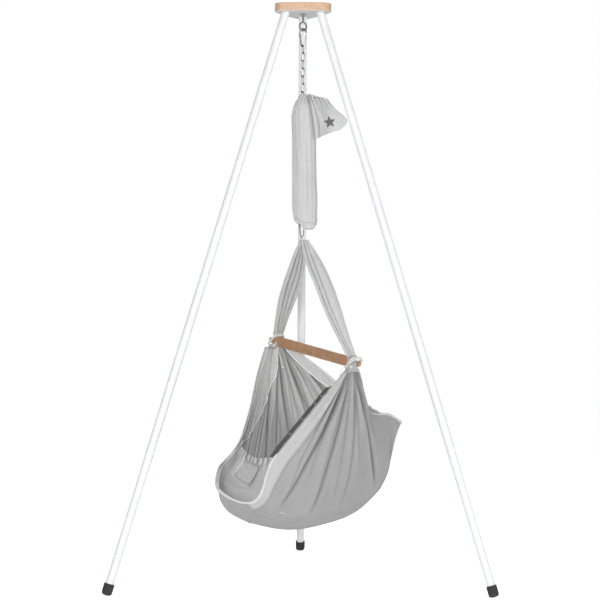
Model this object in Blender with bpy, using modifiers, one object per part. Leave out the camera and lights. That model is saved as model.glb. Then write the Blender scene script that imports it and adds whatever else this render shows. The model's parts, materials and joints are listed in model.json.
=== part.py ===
"""Baby cradle: a fabric hammock that hangs from a spring and a chain under a three-legged stand.

Metres, +Z up. The stand's axis is vertical through STAND_Y, so that the origin is the middle of the
bounding box on the floor. +X is to the right of a person who faces the cradle, +Y is away from them.
"""
import bpy
import bmesh
import math
from mathutils import Matrix, Vector

COLLECTION = "baby_cradle"
CUTTERS = "cutters"

# Clearances
TOUCH_GAP = 0.0003          # between two pieces that touch

# Stand
STAND_Y = -0.18993          # the stand's axis, which centres the three feet on the origin
FOOT_CIRCLE_R = 0.763       # leg axis at the floor
TOP_CIRCLE_R = 0.0726       # leg axis at the plate's underside
LEG_ANGLES = {"left": 210.0, "right": 330.0, "rear": 90.0}
TUBE_R = 0.015
TUBE_WALL = 0.0015
TUBE_SIDES = 20
SMALL_SIDES = 12
SOCKET_DEPTH = 0.014        # how far a leg goes into the plate
JOINT_Z = 1.03              # height at which a leg's two tubes meet
SPIGOT_HALF = 0.08
CAP_R = 0.0185
CAP_RIBS = 3
CAP_RIB_PITCH = 0.0085
CAP_LIFT = 0.0062           # how far up the leg's line the cap's shoulder is; its tip is cut level
CAP_HEIGHT = 0.034
CAP_PLUG_HEIGHT = 0.026
CAP_FLOOR = 0.006           # rubber under the tube's end
CAP_GROOVE = 0.0014
SPIGOT_WALL = 0.003
INSERT_LENGTH = 0.035
BOLT_SET_BACK = 0.004
BOLT_HEAD_HEIGHT = 0.006

# Top plate
PLATE_BOTTOM = 2.05
PLATE_THICK = 0.030
PLATE_CORNER_R = 0.113
PLATE_SIDE_R = 0.078        # middle of a slightly bowed side
PLATE_ROUND_R = 0.032       # rounding of a corner
BOLT_R = 0.004
BOLT_HEAD_R = 0.0075
NUT_HEIGHT = 0.0065
NUT_R = 0.0075
RECESS_R = 0.0125           # round recess for the nut and its washer
RECESS_DEPTH = 0.011
WASHER_R = 0.010
WASHER_THICK = 0.0015
COLLAR_R = 0.011
COLLAR_THICK = 0.0025

# Hanging gear, from the eye bolt down
EYE_Z = 2.005
EYE_R = 0.015
EYE_WIRE = 0.003
EYE_YAW = 35.0
HOOK_YAW = -30.0
HOOK_WIRE = 0.003
HOOK_WIDE_R = 0.0135
HOOK_NARROW_R = 0.0070
HOOK_CENTRES = 0.0435
LINK_WIRE = 0.002
LINK_LENGTH = 0.0323        # between the wire centres of its two bows
LINK_R = 0.006
LINK_COUNT = 6
TWIST_LINK = 3              # the chain twists below this link
SPRING_R = 0.018
SPRING_WIRE = 0.002
SPRING_TURNS = 16
SPRING_TOP = 1.722
SPRING_BOTTOM = 1.312
SPRING_EYE_R = 0.008
SPRING_EYE_REACH = 0.024    # from the last coil down to the lower eye's lowest point
LOWER_SCALE = 0.86          # the lower snap hook against the upper one
ROPE_R = 0.002

# Spring cover
COVER_TOP = 1.752
COVER_BOTTOM = 1.270
COVER_HALF_WIDTH = 0.045
COVER_HALF_DEPTH = 0.033
COVER_WALL = 0.002
COVER_SHIFT = 0.006         # the cover hangs a little to the right of the spring
POUCH_THICK = 0.010

# Hammock: its own axes are along the body, across it (towards the viewer) and up
HAMMOCK_YAW = 40.0
HAMMOCK_X = 0.045
HAMMOCK_Y = 0.022
CLOTH = 0.003
SEAM = 0.004                # gap between two cloth panels, as a share of one step down a cloth line
END_SEAM = 0.0004           # half the gap between a head and a foot panel, as a share of the cloth's length
FAR_TOP = (0.020, -0.232, 0.836)
NEAR_TOP = (-0.020, 0.232, 0.764)
FAR_SPREAD = 0.058
NEAR_SPREAD = 0.034
# Cloth lines from the head end to the foot end. Each runs from the far tie to the near tie through
# the far rim, the far belly, the keel, the near belly and the near rim: (along, across, height).
CLOTH_LINES = (
    ((-0.222, -0.134, 0.522), (-0.355, -0.090, 0.425), (-0.452, 0.030, 0.345), (-0.390, 0.155, 0.315),
     (-0.315, 0.196, 0.475)),
    ((-0.195, -0.165, 0.500), (-0.315, -0.125, 0.330), (-0.395, 0.035, 0.262), (-0.335, 0.165, 0.280),
     (-0.235, 0.215, 0.470)),
    ((-0.100, -0.190, 0.500), (-0.170, -0.150, 0.275), (-0.210, 0.020, 0.200), (-0.180, 0.170, 0.255),
     (-0.130, 0.225, 0.480)),
    ((0.020, -0.200, 0.540), (0.010, -0.165, 0.285), (-0.010, 0.000, 0.188), (-0.010, 0.160, 0.275),
     (-0.015, 0.225, 0.500)),
    ((0.130, -0.195, 0.580), (0.180, -0.170, 0.330), (0.180, -0.015, 0.228), (0.150, 0.140, 0.305),
     (0.075, 0.205, 0.530)),
    ((0.240, -0.170, 0.620), (0.315, -0.150, 0.420), (0.350, -0.030, 0.345), (0.280, 0.100, 0.400),
     (0.140, 0.165, 0.570)),
    ((0.320, -0.140, 0.648), (0.410, -0.120, 0.585), (0.463, -0.030, 0.541), (0.345, 0.035, 0.580),
     (0.180, 0.100, 0.607)),
)
FAR_RIM, FAR_SEAM, NEAR_SEAM, NEAR_RIM, LAST = 1.0, 2.15, 3.85, 5.0, 6.0
FAR_BELLY = 1.20            # where the far side's lower two panels start
HEM_R = 0.005
HEM_GAP = 0.0030
PAD_HEAD_THICK = 0.022      # the pad is thicker under the head
PAD_FOOT_THICK = 0.006
PAD_LIFT = 0.008
PAD_C = (0.05, 0.90)        # the pad's reach along the cloth, and down its lines
PAD_T = (2.30, 3.70)
PAD_SIDE_C = (0.05, 0.45)   # the pad's thin side, up the far wall at the head end
PAD_SIDE_T = (1.08, 1.74)
PAD_SIDE_LIFT = 0.0062
PAD_SIDE_THICK = 0.0036
POCKET_C = (0.17, 0.36)
POCKET_T = (1.24, 1.72)
POCKET_LIFT = 0.0012
POCKET_THICK = 0.0036
BELT_WIDTH = 0.016

# Spreader bar and its ties
BAR_LENGTH = 0.510
BAR_HEIGHT = 0.037
BAR_THICK = 0.014
BAR_TIP_HEIGHT = 0.020
BAR_Z_FAR = 0.862
BAR_Z_NEAR = 0.786
TIE_ACROSS = 0.232
GATHER_SIDE = 0.0215        # the gathered cloth passes beside the bar
GATHER_SIZE = (0.026, 0.048, 0.037)
CORD_R = 0.002
LOOP_R = 0.0020             # hanging loop over the lower hook
LOOP_ARCH_R = 0.0052
STRAP_TOP = 1.2150
STRAP_SPLIT = 0.0068
STRAP_THICK = 0.010
STRAP_END_GAP = 0.0065
STRAP_WIDTHS = (0.024, 0.072, 0.102, 0.096, 0.070, 0.042)

COLOURS = {
    "beech": ((0.66, 0.47, 0.31), 0.55, 0.0),
    "bar_beech": ((0.50, 0.30, 0.17), 0.55, 0.0),
    "white_paint": ((0.86, 0.87, 0.88), 0.38, 0.0),
    "bare_steel": ((0.62, 0.62, 0.63), 0.30, 1.0),
    "black_rubber": ((0.02, 0.02, 0.02), 0.80, 0.0),
    "grey_cotton": ((0.44, 0.44, 0.45), 0.95, 0.0),
    "dark_grey_cotton": ((0.33, 0.33, 0.34), 0.95, 0.0),
    "pad_cotton": ((0.52, 0.52, 0.52), 0.95, 0.0),
    "black_webbing": ((0.05, 0.05, 0.055), 0.90, 0.0),
    "white_cord": ((0.82, 0.82, 0.80), 0.90, 0.0),
    "grey_plastic": ((0.30, 0.30, 0.31), 0.50, 0.0),
}


# ---------------------------------------------------------------- helpers

def clear_scene():
    for obj in list(bpy.data.objects):
        bpy.data.objects.remove(obj, do_unlink=True)


def collection(name):
    made = bpy.data.collections.new(name)
    bpy.context.scene.collection.children.link(made)
    return made


def paint(obj, kind):
    colour, roughness, metallic = COLOURS[kind]
    mat = bpy.data.materials.new(obj.name + "_" + kind)
    mat.use_nodes = True
    shader = mat.node_tree.nodes["Principled BSDF"]
    shader.inputs["Base Color"].default_value = (*colour, 1.0)
    shader.inputs["Roughness"].default_value = roughness
    shader.inputs["Metallic"].default_value = metallic
    mat.diffuse_color = (*colour, 1.0)
    obj.data.materials.clear()
    obj.data.materials.append(mat)


def attach(obj, body):
    """Makes obj follow an unrotated empty, and leaves it where it is."""
    if body is not None:
        obj.parent = body
        obj.matrix_parent_inverse = Matrix.Translation(-body.location)


def new_object(name, data, kind, body=None):
    obj = bpy.data.objects.new(name, data)
    PARTS.objects.link(obj)
    paint(obj, kind)
    attach(obj, body)
    return obj


def joint_empty(name, place, parent=None):
    """An empty on a joint's axis; the pieces that move with it are its children."""
    empty = bpy.data.objects.new(name, None)
    PARTS.objects.link(empty)
    empty.location = place
    empty.empty_display_size = 0.03
    attach(empty, parent)
    return empty


def mesh_from(bm, name, smooth_angle=40.0):
    bmesh.ops.recalc_face_normals(bm, faces=bm.faces)
    mesh = bpy.data.meshes.new(name)
    bm.to_mesh(mesh)
    bm.free()
    mesh.shade_smooth()
    mesh.set_sharp_from_angle(angle=math.radians(smooth_angle))
    return mesh


def tube(name, points, radius, kind, body=None, closed=False, resolution=2):
    """A round wire or cord along points, with filled ends."""
    curve = bpy.data.curves.new(name, "CURVE")
    curve.dimensions = "3D"
    curve.bevel_depth = radius
    curve.bevel_resolution = resolution
    curve.use_fill_caps = not closed
    spline = curve.splines.new("POLY")
    spline.points.add(len(points) - 1)
    for point, place in zip(spline.points, points):
        point.co = (*place, 1.0)
    spline.use_cyclic_u = closed
    spline.use_smooth = True
    return new_object(name, curve, kind, body)


def mesh_of_curve(obj, kind, body=None):
    """The same shape as a welded mesh, which Booleans can cut."""
    depsgraph = bpy.context.evaluated_depsgraph_get()
    mesh = bpy.data.meshes.new_from_object(obj.evaluated_get(depsgraph))
    name, matrix = obj.name, obj.matrix_world.copy()
    bpy.data.objects.remove(obj, do_unlink=True)
    bm = bmesh.new()
    bm.from_mesh(mesh)
    bmesh.ops.remove_doubles(bm, verts=bm.verts, dist=1e-5)
    bm.to_mesh(mesh)
    bm.free()
    mesh.shade_smooth()
    mesh.set_sharp_from_angle(angle=math.radians(35.0))
    made = new_object(name, mesh, kind, body)
    made.matrix_world = matrix
    return made


def cylinder_mesh(name, radius, length, sides=TUBE_SIDES, radius_top=None):
    """A cylinder or cone on +Z, from 0 to length."""
    bm = bmesh.new()
    bmesh.ops.create_cone(bm, cap_ends=True, segments=sides, radius1=radius,
                          radius2=radius if radius_top is None else radius_top, depth=length,
                          matrix=Matrix.Translation((0, 0, length / 2)))
    return mesh_from(bm, name)


def turned(name, profile, kind, body=None, sides=TUBE_SIDES):
    """A profile of (radius, height) points, listed down its outer side, turned about Z."""
    bm = bmesh.new()
    verts = [bm.verts.new((radius, 0, height)) for radius, height in profile]
    for first, second in zip(verts, verts[1:]):
        bm.edges.new((first, second))
    mesh = bpy.data.meshes.new(name)
    bm.to_mesh(mesh)
    bm.free()
    obj = new_object(name, mesh, kind, body)
    screw = obj.modifiers.new("turn", "SCREW")
    screw.steps = screw.render_steps = sides
    screw.use_merge_vertices = True
    screw.merge_threshold = 1e-5
    return obj


def ring_profile(outer, inner, low, high):
    """A closed rectangular profile, listed down its outer side and up its inner side."""
    return [(outer, high), (outer, low), (inner, low), (inner, high), (outer, high)]


def boolean(obj, other, operation):
    cut = obj.modifiers.new(operation.lower(), "BOOLEAN")
    cut.object = other
    cut.operation = operation
    cut.solver = "EXACT"
    other.hide_render = True
    other.display_type = "WIRE"


def sheet(name, surface, across, along, thickness, kind, body=None, side=-1.0, wrap=False):
    """A cloth solid: surface(s, t) for s and t from 0 to 1, thickened to one side."""
    bm = bmesh.new()
    bmesh.ops.create_grid(bm, x_segments=across, y_segments=along, size=0.5)
    for vert in bm.verts:
        vert.co = surface(vert.co.x + 0.5, vert.co.y + 0.5)
    if wrap:
        bmesh.ops.remove_doubles(bm, verts=bm.verts, dist=1e-5)
    obj = new_object(name, mesh_from(bm, name, 60.0), kind, body)
    solid = obj.modifiers.new("cloth", "SOLIDIFY")
    solid.thickness = thickness
    solid.offset = side
    solid.use_even_offset = True
    return obj


def slab(name, outer, inner, across, along, kind, body=None):
    """A closed soft solid between two surfaces of s and t, both from 0 to 1."""
    bm = bmesh.new()
    bmesh.ops.create_grid(bm, x_segments=across, y_segments=along, size=0.5)
    shares = {vert: (vert.co.x + 0.5, vert.co.y + 0.5) for vert in bm.verts}
    lower = list(bm.verts)
    made = bmesh.ops.extrude_face_region(bm, geom=list(bm.faces), use_keep_orig=True)
    upper = [item for item in made["geom"] if isinstance(item, bmesh.types.BMVert)]
    for vert in upper:
        vert.co = inner(vert.co.x + 0.5, vert.co.y + 0.5)
    for vert in lower:
        vert.co = outer(*shares[vert])
    return new_object(name, mesh_from(bm, name, 60.0), kind, body)


def spline_point(points, t):
    """Catmull-Rom through points, at t from 0 to the last index; its ends run on straight."""
    last = len(points) - 1
    k = min(max(int(math.floor(t)), 0), last - 1)
    s = t - k
    p1, p2 = Vector(points[k]), Vector(points[k + 1])
    p0 = Vector(points[k - 1]) if k > 0 else 2 * p1 - p2
    p3 = Vector(points[k + 2]) if k + 2 <= last else 2 * p2 - p1
    return 0.5 * (2 * p1 + (p2 - p0) * s + (2 * p0 - 5 * p1 + 4 * p2 - p3) * s ** 2
                  + (3 * p1 - p0 - 3 * p2 + p3) * s ** 3)


def polyline(points, count):
    """count places along the smooth curve through points."""
    last = len(points) - 1
    return [spline_point(points, last * i / (count - 1)) for i in range(count)]


def about_axis(x, y, z):
    """A place given from the stand's axis."""
    return Vector((x, y + STAND_Y, z))


# ---------------------------------------------------------------- stand

def leg_line(angle):
    """A leg's foot, its direction up the tube, and its top inside the plate."""
    turn = math.radians(angle)
    foot = about_axis(FOOT_CIRCLE_R * math.cos(turn), FOOT_CIRCLE_R * math.sin(turn), 0.0)
    head = about_axis(TOP_CIRCLE_R * math.cos(turn), TOP_CIRCLE_R * math.sin(turn), PLATE_BOTTOM)
    return foot, (head - foot).normalized(), head


def along_leg(obj, place, direction):
    obj.matrix_world = Matrix.Translation(place) @ direction.to_track_quat("Z", "Y").to_matrix().to_4x4()


def at_height(foot, direction, height):
    return foot + direction * (height / direction.z)


def make_leg(side, angle):
    foot, up, head = leg_line(angle)
    shoulder = at_height(foot, up, CAP_LIFT)
    low = shoulder + up * CAP_FLOOR
    joint = at_height(foot, up, JOINT_Z)
    top = head + up * (SOCKET_DEPTH - TOUCH_GAP)
    bore = TUBE_R - TUBE_WALL
    for part, start, end in (("lower", low, joint - up * TOUCH_GAP), ("upper", joint, top)):
        length = (end - start).length
        leg = turned(f"{side}_leg_{part}", ring_profile(TUBE_R, bore, 0, length), "white_paint")
        along_leg(leg, start, up)
    spigot = turned(f"{side}_leg_spigot",
                    ring_profile(bore - TOUCH_GAP, bore - SPIGOT_WALL, -SPIGOT_HALF, SPIGOT_HALF),
                    "bare_steel")
    along_leg(spigot, joint, up)

    insert = turned(f"{side}_leg_insert",
                    ring_profile(bore - TOUCH_GAP, BOLT_R + 3 * TOUCH_GAP, -INSERT_LENGTH, 0),
                    "grey_plastic")
    along_leg(insert, top - up * TOUCH_GAP, up)

    edge = 0.001
    tip = top - up * (INSERT_LENGTH - BOLT_SET_BACK)
    end = head + up * (PLATE_THICK / up.z - BOLT_SET_BACK)
    crown = (end - tip).length
    shank = crown - BOLT_HEAD_HEIGHT
    bolt = turned(f"{side}_leg_bolt",
                  [(0, crown), (BOLT_HEAD_R - edge, crown), (BOLT_HEAD_R, crown - edge),
                   (BOLT_HEAD_R, shank), (BOLT_R, shank), (BOLT_R, edge), (BOLT_R - edge, 0), (0, 0)],
                  "bare_steel", sides=SMALL_SIDES)
    along_leg(bolt, tip, up)

    plug_r = bore - TOUCH_GAP
    sleeve_r = TUBE_R + TOUCH_GAP
    seat = CAP_FLOOR - 2 * TOUCH_GAP
    profile = [(0, CAP_PLUG_HEIGHT), (plug_r, CAP_PLUG_HEIGHT), (plug_r, seat), (sleeve_r, seat),
               (sleeve_r, CAP_HEIGHT), (CAP_R, CAP_HEIGHT)]
    for rib in range(CAP_RIBS):
        height = CAP_HEIGHT - 0.005 - rib * CAP_RIB_PITCH
        profile += [(CAP_R, height), (CAP_R - CAP_GROOVE, height - CAP_GROOVE),
                    (CAP_R, height - 2 * CAP_GROOVE)]
    profile += [(CAP_R - 0.001, 0), (CAP_R - 0.006, -0.005), (0, -CAP_LIFT)]
    cap = turned(f"{side}_foot_cap", profile, "black_rubber", sides=16)
    along_leg(cap, shoulder, up)
    boolean(cap, FLOOR_CUT, "DIFFERENCE")


def plate_outline():
    """A rounded triangle: one corner over each leg, and slightly bowed sides."""
    points = []
    for angle in sorted(LEG_ANGLES.values()):
        turn = math.radians(angle)
        centre = Vector((math.cos(turn), math.sin(turn))) * (PLATE_CORNER_R - PLATE_ROUND_R)
        for step in range(-3, 4):
            bend = turn + math.radians(step * 52.0 / 3)
            points.append(centre + PLATE_ROUND_R * Vector((math.cos(bend), math.sin(bend))))
        middle = turn + math.radians(60.0)
        points.append(Vector((math.cos(middle), math.sin(middle))) * PLATE_SIDE_R)
    return points


def flat_curve(name, outlines, half_thickness, kind):
    """A flat outline, and any holes in it, extruded to both sides of its own XY plane."""
    curve = bpy.data.curves.new(name, "CURVE")
    curve.dimensions = "2D"
    curve.fill_mode = "BOTH"
    curve.extrude = half_thickness
    for points in outlines:
        spline = curve.splines.new("POLY")
        spline.points.add(len(points) - 1)
        for point, place in zip(spline.points, points):
            point.co = (place[0], place[1], 0.0, 1.0)
        spline.use_cyclic_u = True
    return new_object(name, curve, kind)


def circle_points(radius, count):
    return [(radius * math.cos(2 * math.pi * i / count), radius * math.sin(2 * math.pi * i / count))
            for i in range(count)]


def cutter(name, mesh):
    obj = bpy.data.objects.new(name, mesh)
    CUTTER_PARTS.objects.link(obj)
    return obj


def make_plate():
    plate = flat_curve("top_plate", [plate_outline()], PLATE_THICK / 2, "beech")
    plate.location = about_axis(0, 0, PLATE_BOTTOM + PLATE_THICK / 2)
    bpy.context.view_layer.update()
    plate = mesh_of_curve(plate, "beech")
    edges = plate.modifiers.new("edges", "BEVEL")
    edges.width = 0.003
    edges.segments = 1
    edges.limit_method = "ANGLE"
    edges.angle_limit = math.radians(60.0)
    for side, angle in LEG_ANGLES.items():
        foot, up, head = leg_line(angle)
        socket = cutter(f"{side}_socket", cylinder_mesh("socket", TUBE_R + TOUCH_GAP, 0.05))
        along_leg(socket, head + up * (SOCKET_DEPTH - 0.05), up)
        hole = cutter(f"{side}_bolt_hole", cylinder_mesh("bolt_hole", BOLT_R + TOUCH_GAP, 0.07, 16))
        along_leg(hole, head - up * 0.01, up)
        sink = cutter(f"{side}_counterbore", cylinder_mesh("counterbore", BOLT_HEAD_R + 0.001, 0.05, 20))
        along_leg(sink, head + up * (PLATE_THICK / up.z - 0.0101), up)
        for tool in (socket, hole, sink):
            boolean(plate, tool, "DIFFERENCE")
    stem_hole = cutter("stem_hole", cylinder_mesh("stem_hole", BOLT_R + TOUCH_GAP, 0.06, 20))
    stem_hole.location = about_axis(0, 0, PLATE_BOTTOM - 0.015)
    nut_recess = cutter("nut_recess", cylinder_mesh("nut_recess", RECESS_R, 0.03, 24))
    nut_recess.location = about_axis(0, 0, PLATE_BOTTOM + PLATE_THICK - RECESS_DEPTH)
    boolean(plate, stem_hole, "DIFFERENCE")
    boolean(plate, nut_recess, "DIFFERENCE")


def make_eye_bolt():
    stem = cylinder_mesh("stem", BOLT_R, PLATE_BOTTOM + PLATE_THICK - 0.001 - EYE_Z - EYE_R, 16)
    bolt = new_object("eye_bolt", stem, "bare_steel")
    bolt.location = about_axis(0, 0, EYE_Z + EYE_R)
    bpy.ops.mesh.primitive_torus_add(major_segments=22, minor_segments=8, major_radius=EYE_R,
                                     minor_radius=EYE_WIRE)
    ring = bpy.context.active_object
    ring.name = "eye_ring"
    for holder in list(ring.users_collection):
        holder.objects.unlink(ring)
    CUTTER_PARTS.objects.link(ring)
    ring.matrix_world = (Matrix.Translation(about_axis(0, 0, EYE_Z))
                         @ Matrix.Rotation(math.radians(EYE_YAW), 4, "Z")
                         @ Matrix.Rotation(math.radians(90), 4, "X"))
    boolean(bolt, ring, "UNION")
    collar = turned("eye_bolt_collar",
                    ring_profile(COLLAR_R, BOLT_R + TOUCH_GAP, -COLLAR_THICK, 0), "bare_steel")
    collar.location = about_axis(0, 0, PLATE_BOTTOM - TOUCH_GAP)
    recess = PLATE_BOTTOM + PLATE_THICK - RECESS_DEPTH + TOUCH_GAP
    washer = turned("eye_bolt_washer",
                    ring_profile(WASHER_R, BOLT_R + TOUCH_GAP, 0, WASHER_THICK), "bare_steel")
    washer.location = about_axis(0, 0, recess)
    nut = flat_curve("eye_bolt_nut", [circle_points(NUT_R, 6), circle_points(BOLT_R + 3 * TOUCH_GAP, 12)],
                     NUT_HEIGHT / 2, "bare_steel")
    nut.location = about_axis(0, 0, recess + WASHER_THICK + TOUCH_GAP + NUT_HEIGHT / 2)


# ---------------------------------------------------------------- hanging gear

def hook_outline(scale):
    """Half-sizes of a pear-shaped snap hook: wire, wide bow, narrow bow, distance of bow centres."""
    return HOOK_WIRE * scale, HOOK_WIDE_R * scale, HOOK_NARROW_R * scale, HOOK_CENTRES * scale


def make_snap_hook(prefix, top_wire_z, yaw, scale, body, gate_body):
    """Wide bow up, gate on its right. Returns the height of the lower bow's wire centre."""
    wire, wide, narrow, centres = hook_outline(scale)
    high = top_wire_z - wide
    low = high - centres
    slope = math.asin((wide - narrow) / centres)
    turn = Matrix.Translation(about_axis(0, 0, 0)) @ Matrix.Rotation(math.radians(yaw), 4, "Z")

    def place(x, z):
        return turn @ Vector((x, 0, z))

    def on_side(share):
        """A place on the right side's straight run, from the lower bow (0) to the upper one (1)."""
        start = Vector((narrow * math.cos(slope), low - narrow * math.sin(slope)))
        end = Vector((wide * math.cos(slope), high - wide * math.sin(slope)))
        return start.lerp(end, share)

    points = [place(*on_side(share)) for share in (0.16, 0.0)]
    sweep = math.pi - 2 * slope
    for step in range(1, 10):
        angle = -slope - sweep * step / 9
        points.append(place(narrow * math.cos(angle), low + narrow * math.sin(angle)))
    sweep = math.pi + 2 * slope
    for step in range(0, 15):
        angle = math.pi + slope - sweep * step / 14
        points.append(place(wide * math.cos(angle), high + wide * math.sin(angle)))
    points.append(place(*on_side(0.90)))
    tube(f"{prefix}_body", points, wire, "bare_steel", body)

    slack = 0.0012
    hinge, nose = on_side(0.16), on_side(0.90)
    run = (nose - hinge).normalized()
    first, last = hinge + run * slack, nose - run * slack
    tube(f"{prefix}_gate", [place(*first), place(*first.lerp(last, 0.5)), place(*last)], wire * 0.8,
         "bare_steel", gate_body)
    return low - narrow


def gate_pivot(top_wire_z, yaw, scale):
    """Where a gate turns: the lower end of the straight run on the hook's right."""
    wire, wide, narrow, centres = hook_outline(scale)
    high = top_wire_z - wide
    low = high - centres
    slope = math.asin((wide - narrow) / centres)
    start = Vector((narrow * math.cos(slope), 0, low - narrow * math.sin(slope)))
    end = Vector((wide * math.cos(slope), 0, high - wide * math.sin(slope)))
    turn = Matrix.Rotation(math.radians(yaw), 4, "Z")
    return Vector(about_axis(0, 0, 0)) + turn @ start.lerp(end, 0.18)


def make_chain(first_top, upper, lower):
    """Links turned a quarter round from one to the next. Returns the last bow's wire centre."""
    top = first_top
    for number in range(LINK_COUNT):
        yaw = math.radians(HOOK_YAW + 90.0 * (number + 1))
        high, low = top - LINK_R, top - LINK_LENGTH + LINK_R
        points = []
        for centre, start in ((high, 0.0), (low, math.pi)):
            for step in range(7):
                angle = start + math.pi * step / 6
                across = LINK_R * math.cos(angle)
                points.append(about_axis(across * math.cos(yaw), across * math.sin(yaw),
                                         centre + LINK_R * math.sin(angle)))
        body = upper if number < TWIST_LINK else lower
        tube(f"chain_link_{number + 1}", points, LINK_WIRE, "bare_steel", body, closed=True)
        bottom = top - LINK_LENGTH
        top = bottom + 2 * LINK_WIRE + TOUCH_GAP
    return bottom


def spring_eye(centre_z, yaw, first, sweep):
    """A bent eye in a vertical plane, as places along its wire."""
    turn = math.radians(yaw)
    points = []
    for step in range(11):
        angle = math.radians(first + sweep * step / 10)
        across = SPRING_EYE_R * math.cos(angle)
        points.append(about_axis(across * math.cos(turn), across * math.sin(turn),
                                 centre_z + SPRING_EYE_R * math.sin(angle)))
    return points


def make_spring(top_wire_z, bottom_wire_z, top_yaw, bottom_yaw, body):
    """A coil with a bent eye at each end."""
    points = spring_eye(top_wire_z - SPRING_EYE_R, top_yaw, 240.0, -320.0)
    per_turn = 8
    steps = SPRING_TURNS * per_turn
    whole_turn = math.radians(360.0 * SPRING_TURNS + bottom_yaw - top_yaw)
    for step in range(steps + 1):
        angle = math.radians(top_yaw) + whole_turn * step / steps
        height = SPRING_TOP + (SPRING_BOTTOM - SPRING_TOP) * step / steps
        grow = min(1.0, 2 * step / per_turn, 2 * (steps - step) / per_turn)
        radius = SPRING_R * (0.35 + 0.65 * grow)
        points.append(about_axis(radius * math.cos(angle), radius * math.sin(angle), height))
    points += spring_eye(bottom_wire_z + SPRING_EYE_R, bottom_yaw, 80.0, -320.0)
    tube("spring", points, SPRING_WIRE, "bare_steel", body, resolution=1)


def make_safety_rope(top, bottom, body):
    """A slack rope down the inside of the coil, between two knots."""
    side = math.radians(HAMMOCK_YAW - 45.0)
    points = []
    count = 30
    for step in range(count):
        share = step / (count - 1)
        sway = 0.0015 * math.sin(share * 7 * math.pi)
        radius = 0.0095 + sway
        points.append(about_axis(radius * math.cos(side), radius * math.sin(side),
                                 top + (bottom - top) * share))
    tube("safety_rope", points, ROPE_R, "white_cord", body, resolution=1)


def cover_surface(s, t):
    """The sleeve round the spring: a narrow neck, a full body and a drawn-in lower end."""
    height = COVER_TOP + (COVER_BOTTOM - COVER_TOP) * t
    drop = COVER_TOP - height
    rise = height - COVER_BOTTOM
    shoulder = min(1.0, drop / 0.085)
    hem = min(1.0, rise / 0.045)
    full = 0.36 + 0.64 * math.sin(shoulder * math.pi / 2)
    drawn = 0.50 + 0.50 * math.sin(hem * math.pi / 2)
    size = min(full, drawn)
    angle = 2 * math.pi * s
    return about_axis(COVER_SHIFT + COVER_HALF_WIDTH * size * math.cos(angle),
                      COVER_HALF_DEPTH * size * math.sin(angle), height)


def pouch_surface(s, t):
    """The flat middle of a pouch that hangs off the cover's right shoulder."""
    left = spline_point([(0.050, -0.010, 1.757), (0.052, -0.010, 1.700), (0.056, -0.010, 1.604)], 2 * t)
    right = spline_point([(0.092, 0.002, 1.752), (0.160, 0.002, 1.676), (0.136, 0.002, 1.630)], 2 * t)
    return about_axis(*left.lerp(right, s))


def make_cover(body):
    sheet("spring_cover", cover_surface, 16, 12, COVER_WALL, "grey_cotton", body, wrap=True)
    sheet("cover_pouch", pouch_surface, 6, 6, POUCH_THICK, "grey_cotton", body, side=0.0)


# ---------------------------------------------------------------- hammock

def hammock_place(along, across, height):
    turn = math.radians(HAMMOCK_YAW)
    return about_axis(HAMMOCK_X + along * math.cos(turn) + across * math.sin(turn),
                      HAMMOCK_Y + along * math.sin(turn) - across * math.cos(turn), height)


def cloth_rows():
    rows = []
    count = len(CLOTH_LINES)
    for number, line in enumerate(CLOTH_LINES):
        share = -1.0 + 2.0 * number / (count - 1)
        far = (FAR_TOP[0] + share * FAR_SPREAD, FAR_TOP[1], FAR_TOP[2])
        near = (NEAR_TOP[0] + share * NEAR_SPREAD, NEAR_TOP[1], NEAR_TOP[2])
        rows.append((far, *line, near))
    return rows


def cloth(c, t):
    """The cloth's surface: c from 0 (head end) to 1 (foot end), t from 0 (far tie) to 6 (near tie)."""
    rows = cloth_rows()
    place = spline_point([spline_point(row, t) for row in rows], c * (len(rows) - 1))
    return hammock_place(*place)


def cloth_normal(c, t):
    """Unit normal that points into the hammock."""
    step = 0.01
    c0, c1 = max(0.0, c - step), min(1.0, c + step)
    t0, t1 = max(0.0, t - step), min(LAST, t + step)
    along = cloth(c1, t) - cloth(c0, t)
    down = cloth(c, t1) - cloth(c, t0)
    return down.cross(along).normalized()


def panel(name, c_range, t_range, across, along, kind, body, lift=0.0, thick=(CLOTH, CLOTH)):
    """A piece of the cloth's surface, lifted inwards; thick at its head end and at its foot end."""
    def at(s, t, inward):
        c = c_range[0] + (c_range[1] - c_range[0]) * s
        u = t_range[0] + (t_range[1] - t_range[0]) * t
        return cloth(c, u) + cloth_normal(c, u) * inward

    def outer(s, t):
        return at(s, t, lift)

    def inner(s, t):
        return at(s, t, lift + thick[0] + (thick[1] - thick[0]) * s)
    return slab(name, outer, inner, across, along, kind, body)


def edge_out(c, t):
    """Unit direction off the cloth's head or foot edge."""
    step = 0.02
    inner = step if c == 0.0 else 1.0 - step
    return (cloth(c, t) - cloth(inner, t)).normalized()


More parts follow.
